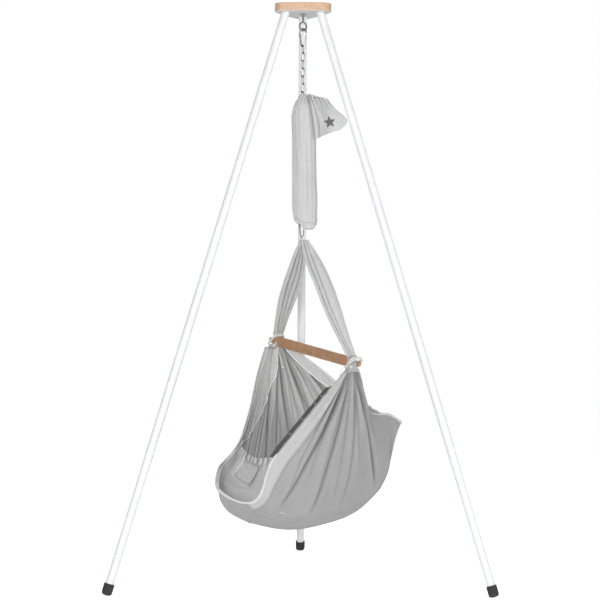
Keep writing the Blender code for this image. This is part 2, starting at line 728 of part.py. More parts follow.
def make_hammock(body):
    panel("far_side_panel", (0, 1), (0.0, FAR_BELLY), 16, 5, "dark_grey_cotton", body)
    for name, c_range in (("far_head_belly", (0, 0.5 - END_SEAM)), ("far_foot_belly", (0.5 + END_SEAM, 1))):
        panel(name, c_range, (FAR_BELLY + SEAM, FAR_SEAM), 8, 4, "dark_grey_cotton", body)
    panel("near_side_panel", (0, 1), (NEAR_SEAM, LAST), 16, 9, "grey_cotton", body)
    panel("base_panel", (0, 1), (FAR_SEAM + SEAM, NEAR_SEAM - SEAM), 16, 10, "grey_cotton", body)
    for name, c in (("head_lip_hem", 0.0), ("foot_lip_hem", 1.0)):
        points = []
        for step in range(21):
            t = FAR_RIM + (NEAR_RIM - FAR_RIM) * step / 20
            inward = cloth_normal(c, t) * (CLOTH / 2)
            points.append(cloth(c, t) + inward + edge_out(c, t) * (HEM_R + HEM_GAP))
        tube(name, points, HEM_R, "pad_cotton", body)
    panel("lying_pad", PAD_C, PAD_T, 14, 8, "pad_cotton", body, lift=PAD_LIFT,
          thick=(PAD_HEAD_THICK, PAD_FOOT_THICK))
    panel("pad_side", PAD_SIDE_C, PAD_SIDE_T, 8, 5, "pad_cotton", body, lift=PAD_SIDE_LIFT,
          thick=(PAD_SIDE_THICK, PAD_SIDE_THICK))
    panel("pillow_pocket", POCKET_C, POCKET_T, 4, 4, "pad_cotton", body,
          lift=PAD_SIDE_LIFT + PAD_SIDE_THICK + POCKET_LIFT, thick=(POCKET_THICK, POCKET_THICK))

    def belt(s, t):
        u = NEAR_RIM + 0.05 + 0.62 * t
        out = edge_out(0.0, u) * (2 * TOUCH_GAP + BELT_WIDTH * s)
        return cloth(0.0, u) + cloth_normal(0.0, u) * (CLOTH / 2) + out
    sheet("closing_belt", belt, 2, 8, 0.002, "black_webbing", body, side=0.0)


def bar_frame():
    """The bar's middle, its long axis towards the near end, and its level side axis."""
    far = hammock_place(0.0, -TIE_ACROSS, BAR_Z_FAR)
    near = hammock_place(0.0, TIE_ACROSS, BAR_Z_NEAR)
    long_axis = (near - far).normalized()
    side_axis = Vector((0, 0, 1)).cross(long_axis).normalized()
    return (far + near) / 2, long_axis, side_axis, far, near


def level_of(direction):
    return Vector((direction.x, direction.y, 0)).normalized()


def make_bar(body):
    half = BAR_LENGTH / 2
    shoulder = half - 0.050
    outline = [(-shoulder, BAR_HEIGHT / 2), (shoulder, BAR_HEIGHT / 2)]
    outline += [(half - 0.030, BAR_TIP_HEIGHT / 2)]
    for step in range(5):
        bend = math.radians(90.0 - 45.0 * step)
        outline.append((half - 0.010 + 0.010 * math.cos(bend), 0.010 * math.sin(bend)))
    outline += [(half - 0.030, -BAR_TIP_HEIGHT / 2), (shoulder, -BAR_HEIGHT / 2)]
    right = outline[1:]
    left = [(-x, z) for x, z in reversed(right)]
    bar = flat_curve("spreader_bar", [right + left], BAR_THICK / 2, "bar_beech")
    middle, long_axis, side_axis, _, _ = bar_frame()
    upright = side_axis.cross(-long_axis).normalized()
    turn = Matrix((long_axis, upright, long_axis.cross(upright))).transposed().to_4x4()
    bar.matrix_world = Matrix.Translation(middle) @ turn
    bpy.context.view_layer.update()
    bar = mesh_of_curve(bar, "bar_beech")
    edges = bar.modifiers.new("edges", "BEVEL")
    edges.width = 0.002
    edges.segments = 2
    edges.limit_method = "ANGLE"
    edges.angle_limit = math.radians(50.0)
    attach(bar, body)


def make_gather(side, tie, offset, body):
    """Cloth bunched beside the bar, where the cord holds it."""
    bpy.ops.mesh.primitive_cube_add(size=1.0)
    cube = bpy.context.active_object
    bpy.context.view_layer.update()
    mesh = cube.data.copy()
    bpy.data.objects.remove(cube, do_unlink=True)
    thick, wide, tall = GATHER_SIZE
    mesh.transform(Matrix.Diagonal((wide, thick, tall, 1.0)))
    obj = new_object(f"{side}_gather", mesh, "grey_cotton")
    _, long_axis, side_axis, _, _ = bar_frame()
    turn = Matrix((level_of(long_axis), side_axis, Vector((0, 0, 1)))).transposed().to_4x4()
    obj.matrix_world = Matrix.Translation(tie + side_axis * offset) @ turn
    soft = obj.modifiers.new("soft", "BEVEL")
    soft.width = 0.006
    soft.segments = 2
    attach(obj, body)


def make_tie(side, tie, offset, body):
    """A cord lashed round the bar and the gathered cloth, with a knot."""
    _, long_axis, side_axis, _, _ = bar_frame()
    lean = (long_axis + Vector((0, 0, 1.0))).normalized()
    centre = tie + side_axis * offset * 0.60
    half_side = 0.0075 + GATHER_SIZE[0] / 2 + CORD_R + 0.0030
    half_lean = 0.046
    points = []
    for step in range(24):
        angle = 2 * math.pi * step / 24
        x, y = math.cos(angle), math.sin(angle)
        squash = (abs(x) ** 4 + abs(y) ** 4) ** -0.25
        points.append(centre + side_axis * half_side * x * squash + lean * half_lean * y * squash)
    tube(f"{side}_tie_cord", points, CORD_R, "white_cord", body, closed=True, resolution=1)


def strap_path(side):
    """Centre line of one strap, from the hanging loop down to the gather."""
    _, long_axis, side_axis, far, near = bar_frame()
    level = level_of(long_axis)
    sign, tie, offset = (-1, far, GATHER_SIDE) if side == "left" else (1, near, -GATHER_SIDE)
    top = about_axis(0, 0, STRAP_TOP) + level * STRAP_SPLIT * sign
    end = tie + side_axis * offset + Vector((0, 0, GATHER_SIZE[2] / 2 + STRAP_END_GAP))
    return top, end


def make_strap(side, body):
    top, end = strap_path(side)
    _, _, side_axis, _, _ = bar_frame()

    def surface(s, t):
        width = spline_point([(w, 0, 0) for w in STRAP_WIDTHS], (len(STRAP_WIDTHS) - 1) * t).x
        return top.lerp(end, t) + side_axis * width * (s - 0.5)
    sheet(f"{side}_strap", surface, 4, 10, STRAP_THICK, "grey_cotton", body, side=0.0)


def make_hanging_loop(bow_z, body):
    """A short cord arch over the lower hook's bow, down to the tops of the straps."""
    _, long_axis, _, _, _ = bar_frame()
    level = level_of(long_axis)
    radius = LOOP_ARCH_R
    foot = STRAP_TOP + 0.0040
    points = [about_axis(0, 0, foot) - level * STRAP_SPLIT]
    for step in range(9):
        angle = math.pi - math.pi * step / 8
        points.append(about_axis(0, 0, bow_z + radius * math.sin(angle)) + level * radius * math.cos(angle))
    points.append(about_axis(0, 0, foot) + level * STRAP_SPLIT)
    tube("hanging_loop", points, LOOP_R, "white_cord", body)


# Tails of the tie cords: from the tie, hanging down, given from the tie's place (along the view)
LEFT_TAIL = ((0.012, -0.030, -0.020), (0.016, -0.034, -0.034), (0.024, -0.036, -0.056),
             (0.030, -0.037, -0.080), (0.034, -0.038, -0.098))
RIGHT_TAIL = ((-0.026, -0.026, -0.012), (-0.040, -0.030, -0.010), (-0.052, -0.032, -0.022),
              (-0.058, -0.033, -0.042), (-0.064, -0.034, -0.062))


def make_tail(side, tie, route, body):
    points = [tie + Vector(point) for point in route]
    tube(f"{side}_tie_tail", polyline(points, 14), CORD_R * 0.8, "white_cord", body)
    bpy.ops.mesh.primitive_uv_sphere_add(segments=10, ring_count=6, radius=CORD_R * 2.0)
    ball = bpy.context.active_object
    mesh = ball.data.copy()
    bpy.data.objects.remove(ball, do_unlink=True)
    mesh.shade_smooth()
    knot = new_object(f"{side}_tail_knot", mesh, "white_cord", body)
    step = (points[-1] - points[-2]).normalized()
    knot.location = points[-1] + step * (CORD_R * 2.0 + TOUCH_GAP)


# ---------------------------------------------------------------- assembly

def build():
    for side, angle in LEG_ANGLES.items():
        make_leg(side, angle)
    make_plate()
    make_eye_bolt()

    eye_bow = EYE_Z - EYE_R
    hook_top = eye_bow + EYE_WIRE + HOOK_WIRE + TOUCH_GAP
    hook_pivot = joint_empty("swing_fore_aft_axis", about_axis(0, 0, eye_bow + EYE_WIRE))
    gate_axis = joint_empty("snap_gate_axis", gate_pivot(hook_top, HOOK_YAW, 1.0), hook_pivot)
    hook_bottom = make_snap_hook("snap_hook", hook_top, HOOK_YAW, 1.0, hook_pivot, gate_axis)

    chain_pivot = joint_empty("swing_side_axis", about_axis(0, 0, hook_bottom + HOOK_WIRE), hook_pivot)
    first_link = hook_bottom + HOOK_WIRE + LINK_WIRE + TOUCH_GAP
    twist_z = first_link - TWIST_LINK * (LINK_LENGTH - 2 * LINK_WIRE - TOUCH_GAP)
    twist = joint_empty("chain_twist_axis", about_axis(0, 0, twist_z), chain_pivot)
    chain_bottom = make_chain(first_link, chain_pivot, twist)
    spring_head = chain_bottom + LINK_WIRE + SPRING_WIRE + TOUCH_GAP
    spring_foot = SPRING_BOTTOM - SPRING_EYE_REACH
    head_yaw = HOOK_YAW + 90.0 * (LINK_COUNT % 2 + 1)
    make_spring(spring_head, spring_foot, head_yaw, HAMMOCK_YAW + 90.0, twist)
    make_cover(twist)

    lower_wire, _, _, _ = hook_outline(LOWER_SCALE)
    lower_top = spring_foot + SPRING_WIRE + lower_wire + TOUCH_GAP
    bounce = joint_empty("bounce_axis", about_axis(0, 0, spring_foot), twist)
    lower_gate = joint_empty("lower_gate_axis", gate_pivot(lower_top, HAMMOCK_YAW, LOWER_SCALE), bounce)
    lower_bow = make_snap_hook("lower_hook", lower_top, HAMMOCK_YAW, LOWER_SCALE, bounce, lower_gate)
    make_safety_rope(chain_bottom - 0.016, lower_top - 0.030, twist)

    hang = joint_empty("hammock_axis", about_axis(0, 0, lower_bow), bounce)
    make_hanging_loop(lower_bow, hang)
    for side in ("left", "right"):
        make_strap(side, hang)
    make_bar(hang)
    _, _, _, far, near = bar_frame()
    for side, tie, offset, tail in (("left", far, GATHER_SIDE, LEFT_TAIL),
                                    ("right", near, -GATHER_SIDE, RIGHT_TAIL)):
        make_gather(side, tie, offset, hang)
        make_tie(side, tie, offset, hang)
        make_tail(side, tie, tail, hang)
    make_hammock(hang)


clear_scene()
PARTS = collection(COLLECTION)
CUTTER_PARTS = collection(CUTTERS)
FLOOR_CUT = cutter("floor_cut", cylinder_mesh("floor_cut", 1.2, 0.05))
FLOOR_CUT.location = (0, 0, -0.05)
build()
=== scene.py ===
"""Looks of the baby cradle: its cloth, cords, wood, paint and steel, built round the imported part.

Metres, in the part's own frame: +X to the right and +Y away from a person who faces the cradle, +Z up.
"""

import json
import math

import bmesh
import bpy
import numpy as np
from mathutils import Matrix, Vector


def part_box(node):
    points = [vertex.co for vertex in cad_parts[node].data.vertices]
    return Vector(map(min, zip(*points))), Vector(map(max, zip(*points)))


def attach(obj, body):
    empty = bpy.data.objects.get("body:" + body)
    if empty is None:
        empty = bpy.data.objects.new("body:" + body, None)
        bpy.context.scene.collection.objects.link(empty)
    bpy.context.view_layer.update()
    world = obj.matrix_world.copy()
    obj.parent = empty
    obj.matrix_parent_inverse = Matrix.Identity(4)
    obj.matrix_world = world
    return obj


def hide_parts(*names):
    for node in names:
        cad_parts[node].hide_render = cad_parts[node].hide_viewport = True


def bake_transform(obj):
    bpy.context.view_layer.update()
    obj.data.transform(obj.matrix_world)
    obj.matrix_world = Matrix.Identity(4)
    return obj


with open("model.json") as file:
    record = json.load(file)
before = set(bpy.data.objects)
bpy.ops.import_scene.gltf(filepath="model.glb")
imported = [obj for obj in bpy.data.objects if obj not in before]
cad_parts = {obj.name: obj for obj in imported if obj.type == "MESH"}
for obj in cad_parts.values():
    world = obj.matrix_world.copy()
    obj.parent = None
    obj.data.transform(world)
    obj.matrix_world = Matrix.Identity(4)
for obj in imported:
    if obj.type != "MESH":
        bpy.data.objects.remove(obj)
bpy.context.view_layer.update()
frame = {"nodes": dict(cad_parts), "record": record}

# ---------------------------------------------------------------- sizes shared with the part
STAND_Y = -0.18993
HAMMOCK_YAW = math.radians(40.0)
HAMMOCK_X = 0.045
HAMMOCK_Y = 0.022
FAR_TOP = (0.020, -0.232, 0.836)
NEAR_TOP = (-0.020, 0.232, 0.764)
FAR_SPREAD = 0.058
NEAR_SPREAD = 0.034
# Cloth lines from the head end to the foot end, each from the far rim to the near rim: (along,
# across, height) in the hammock's own axes.
CLOTH_LINES = (
    ((-0.222, -0.134, 0.522), (-0.355, -0.090, 0.425), (-0.452, 0.030, 0.345), (-0.390, 0.155, 0.315),
     (-0.315, 0.196, 0.475)),
    ((-0.195, -0.165, 0.500), (-0.315, -0.125, 0.330), (-0.395, 0.035, 0.262), (-0.335, 0.165, 0.280),
     (-0.235, 0.215, 0.470)),
    ((-0.100, -0.190, 0.500), (-0.170, -0.150, 0.275), (-0.210, 0.020, 0.200), (-0.180, 0.170, 0.255),
     (-0.130, 0.225, 0.480)),
    ((0.020, -0.200, 0.540), (0.010, -0.165, 0.285), (-0.010, 0.000, 0.188), (-0.010, 0.160, 0.275),
     (-0.015, 0.225, 0.500)),
    ((0.130, -0.195, 0.580), (0.180, -0.170, 0.330), (0.180, -0.015, 0.228), (0.150, 0.140, 0.305),
     (0.075, 0.205, 0.530)),
    ((0.240, -0.170, 0.620), (0.315, -0.150, 0.420), (0.350, -0.030, 0.345), (0.280, 0.100, 0.400),
     (0.140, 0.165, 0.570)),
    ((0.320, -0.140, 0.648), (0.410, -0.120, 0.585), (0.463, -0.030, 0.541), (0.345, 0.035, 0.580),
     (0.180, 0.100, 0.607)),
)
FAR_RIM, FAR_SEAM, NEAR_SEAM, NEAR_RIM, LAST = 1.0, 2.15, 3.85, 5.0, 6.0
PAD_LIFT = 0.008
TIE_ACROSS = 0.232
BAR_Z_FAR = 0.862
BAR_Z_NEAR = 0.786
GATHER_SIDE = 0.0215
GATHER_SIZE = (0.026, 0.048, 0.037)
STRAP_TOP = 1.2150
STRAP_SPLIT = 0.0068
STRAP_END_GAP = 0.0065
LEFT_TAIL = ((0.012, -0.030, -0.020), (0.016, -0.034, -0.034), (0.024, -0.036, -0.056),
             (0.030, -0.037, -0.080), (0.034, -0.038, -0.098))
RIGHT_TAIL = ((-0.026, -0.026, -0.012), (-0.040, -0.030, -0.010), (-0.052, -0.032, -0.022),
              (-0.058, -0.033, -0.042), (-0.064, -0.034, -0.062))
TAIL_R = 0.0016

# ---------------------------------------------------------------- camera
CAMERA_PLACE = Vector((-0.0059, STAND_Y - 6.184, 0.959))
CAMERA_PITCH = 0.0084
CAMERA_ROLL = 0.005
LENS_MM = 102.26


def make_camera():
    data = bpy.data.cameras.new("camera")
    data.lens = LENS_MM
    data.sensor_width = 36.0
    data.clip_end = 50.0
    camera = bpy.data.objects.new("camera", data)
    bpy.context.scene.collection.objects.link(camera)
    forward = Vector((0.0, math.cos(CAMERA_PITCH), math.sin(CAMERA_PITCH)))
    level = Vector((1.0, 0.0, 0.0))
    upright = level.cross(forward)
    right = math.cos(CAMERA_ROLL) * level + math.sin(CAMERA_ROLL) * upright
    up = right.cross(forward)
    turn = Matrix((right, up, -forward)).transposed().to_4x4()
    camera.matrix_world = Matrix.Translation(CAMERA_PLACE) @ turn
    bpy.context.scene.camera = camera


# ---------------------------------------------------------------- materials

class Shading:
    """A material with one Principled BSDF, and short ways to add and join nodes."""

    def __init__(self, name, roughness, metallic=0.0):
        self.mat = bpy.data.materials.new(name)
        self.mat.use_nodes = True
        self.tree = self.mat.node_tree
        self.shader = self.tree.nodes["Principled BSDF"]
        self.shader.inputs["Roughness"].default_value = roughness
        self.shader.inputs["Metallic"].default_value = metallic

    def node(self, kind, **settings):
        made = self.tree.nodes.new(kind)
        for name, value in settings.items():
            setattr(made, name, value)
        return made

    def join(self, source, target):
        self.tree.links.new(source, target)

    def place(self, scale=(1, 1, 1), uv=None, turn=(0, 0, 0)):
        """Object coordinates, or a UV map in metres, scaled."""
        if uv:
            source = self.node("ShaderNodeUVMap", uv_map=uv).outputs["UV"]
        else:
            source = self.node("ShaderNodeTexCoord").outputs["Object"]
        mapping = self.node("ShaderNodeMapping")
        mapping.inputs["Scale"].default_value = scale
        mapping.inputs["Rotation"].default_value = turn
        self.join(source, mapping.inputs["Vector"])
        return mapping.outputs["Vector"]

    def noise(self, vector, scale, detail=3.0, roughness=0.5, distortion=0.0):
        made = self.node("ShaderNodeTexNoise")
        made.inputs["Scale"].default_value = scale
        made.inputs["Detail"].default_value = detail
        made.inputs["Roughness"].default_value = roughness
        made.inputs["Distortion"].default_value = distortion
        self.join(vector, made.inputs["Vector"])
        return made.outputs["Fac"]

    def wave(self, vector, scale, direction, distortion=0.0, detail=0.0):
        made = self.node("ShaderNodeTexWave", wave_type="BANDS", bands_direction=direction)
        made.inputs["Scale"].default_value = scale
        made.inputs["Distortion"].default_value = distortion
        made.inputs["Detail"].default_value = detail
        self.join(vector, made.inputs["Vector"])
        return made.outputs["Fac"]

    def math(self, operation, first, second):
        made = self.node("ShaderNodeMath", operation=operation)
        for socket, value in zip(made.inputs, (first, second)):
            if isinstance(value, (int, float)):
                socket.default_value = value
            else:
                self.join(value, socket)
        return made.outputs["Value"]

    def ramp(self, value, stops):
        made = self.node("ShaderNodeValToRGB")
        elements = made.color_ramp.elements
        for number, (place, colour) in enumerate(stops):
            element = elements[number] if number < 2 else elements.new(place)
            element.position = place
            element.color = (*colour, 1.0)
        self.join(value, made.inputs["Fac"])
        return made.outputs["Color"]

    def mix(self, share, first, second, blend="MIX"):
        made = self.node("ShaderNodeMix", data_type="RGBA", blend_type=blend)
        for socket, value in ((made.inputs["Factor"], share), (made.inputs["A"], first),
                              (made.inputs["B"], second)):
            if isinstance(value, (int, float)):
                socket.default_value = value
            elif isinstance(value, tuple):
                socket.default_value = (*value, 1.0)
            else:
                self.join(value, socket)
        return made.outputs["Result"]

    def colour(self, source):
        self.join(source, self.shader.inputs["Base Color"])

    def rough(self, source, low, high):
        ranged = self.node("ShaderNodeMapRange")
        ranged.inputs["To Min"].default_value = low
        ranged.inputs["To Max"].default_value = high
        self.join(source, ranged.inputs["Value"])
        self.join(ranged.outputs["Result"], self.shader.inputs["Roughness"])

    def bump(self, layers):
        """layers: (height, distance in metres), from the coarsest to the finest."""
        normal = None
        for height, distance in layers:
            made = self.node("ShaderNodeBump")
            made.inputs["Distance"].default_value = distance
            self.join(height, made.inputs["Height"])
            if normal is not None:
                self.join(normal, made.inputs["Normal"])
            normal = made.outputs["Normal"]
        self.join(normal, self.shader.inputs["Normal"])


def grey(value, warmth=0.0):
    return (value * (1 + warmth), value, value * (1 - warmth))


def cotton(name, light, weave_map="Weave", rumple=0.0008, crease=False, valley=0.50):
    """Melange cotton: flecked yarns in a fine plain weave, with soft rumples; with crease set, painted shade
    darkens the fold valleys.
    """
    look = Shading(name, 0.92)
    look.shader.inputs["Sheen Weight"].default_value = 0.25
    look.shader.inputs["Sheen Roughness"].default_value = 0.6
    look.shader.inputs["Specular IOR Level"].default_value = 0.25
    body = look.place()
    weft = look.place((1, 7, 1), uv=weave_map) if weave_map else look.place((1, 1, 5))
    warp = look.place((7, 1, 1), uv=weave_map) if weave_map else look.place((5, 1, 1))
    flecks = look.math("ADD", look.noise(weft, 95.0, 2.0, 0.7), look.noise(warp, 95.0, 2.0, 0.7))
    fleck_colour = look.ramp(look.math("MULTIPLY", flecks, 0.5), (
        (0.36, grey(light * 0.80)), (0.50, grey(light)), (0.64, grey(light * 1.14))))
    cloudy = look.ramp(look.noise(body, 14.0, 3.0), ((0.3, grey(0.93)), (0.7, grey(1.0))))
    colour = look.mix(1.0, fleck_colour, cloudy, "MULTIPLY")
    # Painted shade: the crease attribute darkens the colour towards valley in the fold valleys.
    if crease:
        depth = look.node("ShaderNodeAttribute", attribute_name="crease").outputs["Fac"]
        shade = look.ramp(depth, ((0.0, grey(1.0)), (1.0, grey(valley))))
        colour = look.mix(1.0, colour, shade, "MULTIPLY")
    look.colour(colour)
    look.rough(flecks, 0.86, 0.98)
    rumples = look.noise(body, 38.0, 4.0, 0.55, 0.4)
    if weave_map:
        yarn = look.place(uv=weave_map)
        weave = look.math("MULTIPLY", look.wave(yarn, 310.0, "X"), look.wave(yarn, 310.0, "Y"))
    else:
        weave = look.noise(body, 700.0, 1.0)
    look.bump(((rumples, rumple), (look.noise(body, 160.0, 2.0), 0.0003), (weave, 0.00018)))
    return look.mat


def webbing(name):
    """Dark woven tape with a herringbone."""
    look = Shading(name, 0.85)
    look.shader.inputs["Sheen Weight"].default_value = 0.2
    yarn = look.place(uv="Weave")
    ribs = look.wave(yarn, 260.0, "DIAGONAL", 0.5)
    flecks = look.noise(look.place((1, 6, 1), uv="Weave"), 150.0)
    look.colour(look.mix(ribs, grey(0.028), look.ramp(flecks, ((0.3, grey(0.045)), (0.7, grey(0.085))))))
    look.rough(flecks, 0.75, 0.95)
    look.bump(((ribs, 0.0003),))
    return look.mat


def cord_look(name, light=0.80):
    """Braided cotton cord: two sets of strands that cross."""
    look = Shading(name, 0.88)
    look.shader.inputs["Sheen Weight"].default_value = 0.2
    body = look.place()
    strands = look.math("MULTIPLY", look.wave(look.place(turn=(0.6, 0.6, 0)), 520.0, "DIAGONAL", 1.0),
                        look.wave(look.place(turn=(-0.6, 0.9, 0.4)), 520.0, "DIAGONAL", 1.0))
    dust = look.noise(body, 240.0, 2.0)
    look.colour(look.mix(look.math("MULTIPLY", strands, 0.5), grey(light * 0.88, 0.01), look.ramp(
        dust, ((0.3, grey(light * 0.93, 0.01)), (0.7, grey(light * 1.06, 0.01))))))
    look.rough(dust, 0.8, 0.95)
    look.bump(((strands, 0.0005),))
    return look.mat


def thread_look(name, light):
    look = Shading(name, 0.8)
    fuzz = look.noise(look.place(), 900.0, 2.0)
    look.colour(look.ramp(fuzz, ((0.3, grey(light * 0.9)), (0.7, grey(light)))))
    look.bump(((fuzz, 0.0001),))
    return look.mat


def beech(name, pale, dark, turn, along=1.0, under=None):
    """Oiled beech: long soft grain, dark flecks and pores along it, and painted shade, grey on faces that
    point down, if a grey for it is given.
    """
    look = Shading(name, 0.5)
    look.shader.inputs["Coat Weight"].default_value = 0.08
    look.shader.inputs["Coat Roughness"].default_value = 0.35
    grain = look.place((along * 1.2, 14.0, 14.0), turn=turn)
    fine = look.place((along * 5.0, 120.0, 120.0), turn=turn)
    pores = look.place((along * 22.0, 420.0, 420.0), turn=turn)
    rings = look.noise(grain, 3.0, 4.0, 0.6, 0.8)
    lines = look.noise(fine, 2.5, 3.0, 0.6)
    flecks = look.noise(pores, 1.6, 2.0, 0.5)
    base = look.ramp(rings, ((0.30, dark), (0.72, pale)))
    streak = look.ramp(lines, ((0.35, (0.86, 0.82, 0.78)), (0.62, (1.0, 1.0, 1.0))))
    pore = look.ramp(flecks, ((0.30, (0.55, 0.42, 0.33)), (0.40, (1.0, 1.0, 1.0))))
    wood = look.mix(1.0, look.mix(0.85, base, streak, "MULTIPLY"), pore, "MULTIPLY")
    # Painted shade: faces that point down turn grey.
    if under:
        parts = look.node("ShaderNodeSeparateXYZ")
        look.join(look.node("ShaderNodeNewGeometry").outputs["Normal"], parts.inputs["Vector"])
        below = look.math("LESS_THAN", parts.outputs["Z"], -0.5)
        wood = look.mix(below, wood, look.ramp(rings, ((0.3, grey(under * 0.95)), (0.7, grey(under)))))
    look.colour(wood)
    look.rough(lines, 0.42, 0.6)
    look.bump(((lines, 0.0002), (flecks, 0.00015)))
    return look.mat


def powder_coat(name):
    """White powder coat with a faint orange peel."""
    look = Shading(name, 0.36)
    look.shader.inputs["Coat Weight"].default_value = 0.15
    look.shader.inputs["Coat Roughness"].default_value = 0.25
    body = look.place()
    peel = look.noise(body, 420.0, 2.0)
    patches = look.noise(body, 9.0, 3.0)
    look.colour(look.ramp(patches, ((0.35, (0.62, 0.64, 0.645)), (0.65, (0.66, 0.675, 0.68)))))
    look.rough(patches, 0.32, 0.44)
    look.bump(((peel, 0.00012),))
    return look.mat


def zinc(name, bright=0.62):
    """Bright zinc-plated wire, drawn and a little worn."""
    look = Shading(name, 0.28, 1.0)
    body = look.place()
    spangle = look.noise(body, 160.0, 3.0, 0.6)
    scratches = look.noise(look.place((1, 1, 12)), 260.0, 2.0)
    look.colour(look.ramp(spangle, ((0.3, grey(bright * 0.72, 0.01)), (0.7, grey(bright * 1.08, 0.01)))))
    look.rough(scratches, 0.2, 0.42)
    look.bump(((scratches, 0.00006),))
    return look.mat


def rubber(name):
    look = Shading(name, 0.75)
    body = look.place()
    dust = look.noise(body, 60.0, 4.0, 0.6)
    look.colour(look.ramp(dust, ((0.35, grey(0.012)), (0.75, grey(0.040)))))
    look.rough(dust, 0.6, 0.88)
    look.bump(((look.noise(body, 900.0, 1.0), 0.00012),))
    return look.mat


def plastic(name):
    look = Shading(name, 0.5)
    body = look.place()
    grain = look.noise(body, 700.0, 1.0)
    look.colour(look.ramp(look.noise(body, 40.0), ((0.3, grey(0.24)), (0.7, grey(0.30)))))
    look.rough(grain, 0.42, 0.58)
    look.bump(((grain, 0.0001),))
    return look.mat


# ---------------------------------------------------------------- geometry helpers

def spline_weights(count, places):
    """Catmull-Rom weights of count evenly spaced points at places from 0 to count - 1."""
    places = np.atleast_1d(np.asarray(places, float))
    low = np.clip(np.floor(places).astype(int), 0, count - 2)
    s = places - low
    parts = 0.5 * np.stack((-s + 2 * s ** 2 - s ** 3, 2 - 5 * s ** 2 + 3 * s ** 3,
                            s + 4 * s ** 2 - 3 * s ** 3, -s ** 2 + s ** 3), axis=1)
    weights = np.zeros((len(places), count))
    rows = np.arange(len(places))
    for offset, part in zip((-1, 0, 1, 2), parts.T):
        index = low + offset
        inside = (index >= 0) & (index < count)
        np.add.at(weights, (rows[inside], index[inside]), part[inside])
        before, after = index < 0, index >= count
        np.add.at(weights, (rows[before], 0), 2 * part[before])
        np.add.at(weights, (rows[before], 1), -part[before])
        np.add.at(weights, (rows[after], count - 1), 2 * part[after])
        np.add.at(weights, (rows[after], count - 2), -part[after])
    return weights


def curve_through(points, places):
    """Places on the smooth curve through points; places run from 0 to 1."""
    points = np.asarray(points, float)
    return spline_weights(len(points), np.asarray(places) * (len(points) - 1)) @ points


def smooth(x, low, high):
    x = np.clip((x - low) / (high - low), 0.0, 1.0)
    return x * x * (3 - 2 * x)


def soft_noise(x, y, seed):
    """Smooth noise of two numbers, from about -1 to 1, with one bump per unit."""
    lattice = np.random.default_rng(seed).uniform(-1, 1, (61, 61))
    x, y = np.broadcast_arrays(np.asarray(x, float), np.asarray(y, float))
    low_x, low_y = np.floor(x).astype(int), np.floor(y).astype(int)
    u, v = x - low_x, y - low_y
    u, v = u * u * (3 - 2 * u), v * v * (3 - 2 * v)

    def corner(i, j):
        return lattice[(low_x + i) % 61, (low_y + j) % 61]
    return ((1 - u) * (1 - v) * corner(0, 0) + u * (1 - v) * corner(1, 0)
            + (1 - u) * v * corner(0, 1) + u * v * corner(1, 1))


def unit(vectors):
    return vectors / np.maximum(np.linalg.norm(vectors, axis=-1, keepdims=True), 1e-9)


def grid_normals(points, wrap=False):
    """Normals of an (n, m, 3) array of places: down the second index crossed with along the first."""
    if wrap:
        along = np.roll(points, -1, 0) - np.roll(points, 1, 0)
    else:
        along = np.gradient(points, axis=0)
    return unit(np.cross(np.gradient(points, axis=1), along))


def link(name, data):
    obj = bpy.data.objects.new(name, data)
    bpy.context.scene.collection.objects.link(obj)
    return obj


def shell(name, points, thickness, material, wrap=False, crease=None, ends=True):
    """A closed sheet: an (n, m, 3) array of places, with half its thickness to each side."""
    points = np.asarray(points, float)
    n, m = points.shape[:2]
    normals = grid_normals(points, wrap)
    half = np.broadcast_to(np.asarray(thickness, float) / 2, (n, m))[..., None]
    verts = np.concatenate(((points + normals * half).reshape(-1, 3),
                            (points - normals * half).reshape(-1, 3)))
    index = np.arange(n * m).reshape(n, m)
    following = np.roll(index, -1, 0) if wrap else index[1:]
    leading = index if wrap else index[:-1]
    a, b = leading[:, :-1], following[:, :-1]
    c, d = following[:, 1:], leading[:, 1:]
    upper = np.stack((a, d, c, b), -1).reshape(-1, 4)
    lower = np.stack((a, b, c, d), -1).reshape(-1, 4) + n * m
    faces = [upper, lower]

    def rim(line):
        first, second = line[:-1], line[1:]
        return np.stack((first, second, second + n * m, first + n * m), -1)
    if ends:
        top, bottom = index[:, 0], index[:, -1]
        if wrap:
            top, bottom = np.append(top, top[0]), np.append(bottom, bottom[0])
        faces += [rim(top)[:, ::-1], rim(bottom)]
        if not wrap:
            faces += [rim(index[0]), rim(index[-1])[:, ::-1]]
    faces = np.concatenate(faces)
    mesh = bpy.data.meshes.new(name)
    mesh.from_pydata(verts.tolist(), [], faces.tolist())
    along = np.cumsum(np.linalg.norm(np.diff(points, axis=0, prepend=points[:1]), axis=-1), 0)
    down = np.cumsum(np.linalg.norm(np.diff(points, axis=1, prepend=points[:, :1]), axis=-1), 1)
    place = np.stack((along, down), -1).reshape(-1, 2)
    place = np.concatenate((place, place))
    weave = mesh.uv_layers.new(name="Weave")
    loops = np.empty(len(mesh.loops), int)
    mesh.loops.foreach_get("vertex_index", loops)
    weave.data.foreach_set("uv", place[loops].reshape(-1))
    # The crease attribute holds painted shade for the cloth's colour.
    if crease is not None:
        layer = mesh.attributes.new("crease", "FLOAT", "POINT")
        values = np.clip(crease, 0, 1).reshape(-1)
        layer.data.foreach_set("value", np.concatenate((values, values)).astype(np.float32))
    mesh.shade_smooth()
    mesh.materials.append(material)
    bm = bmesh.new()
    bm.from_mesh(mesh)
    bmesh.ops.recalc_face_normals(bm, faces=bm.faces)
    bm.to_mesh(mesh)
    bm.free()
    return link(name, mesh)


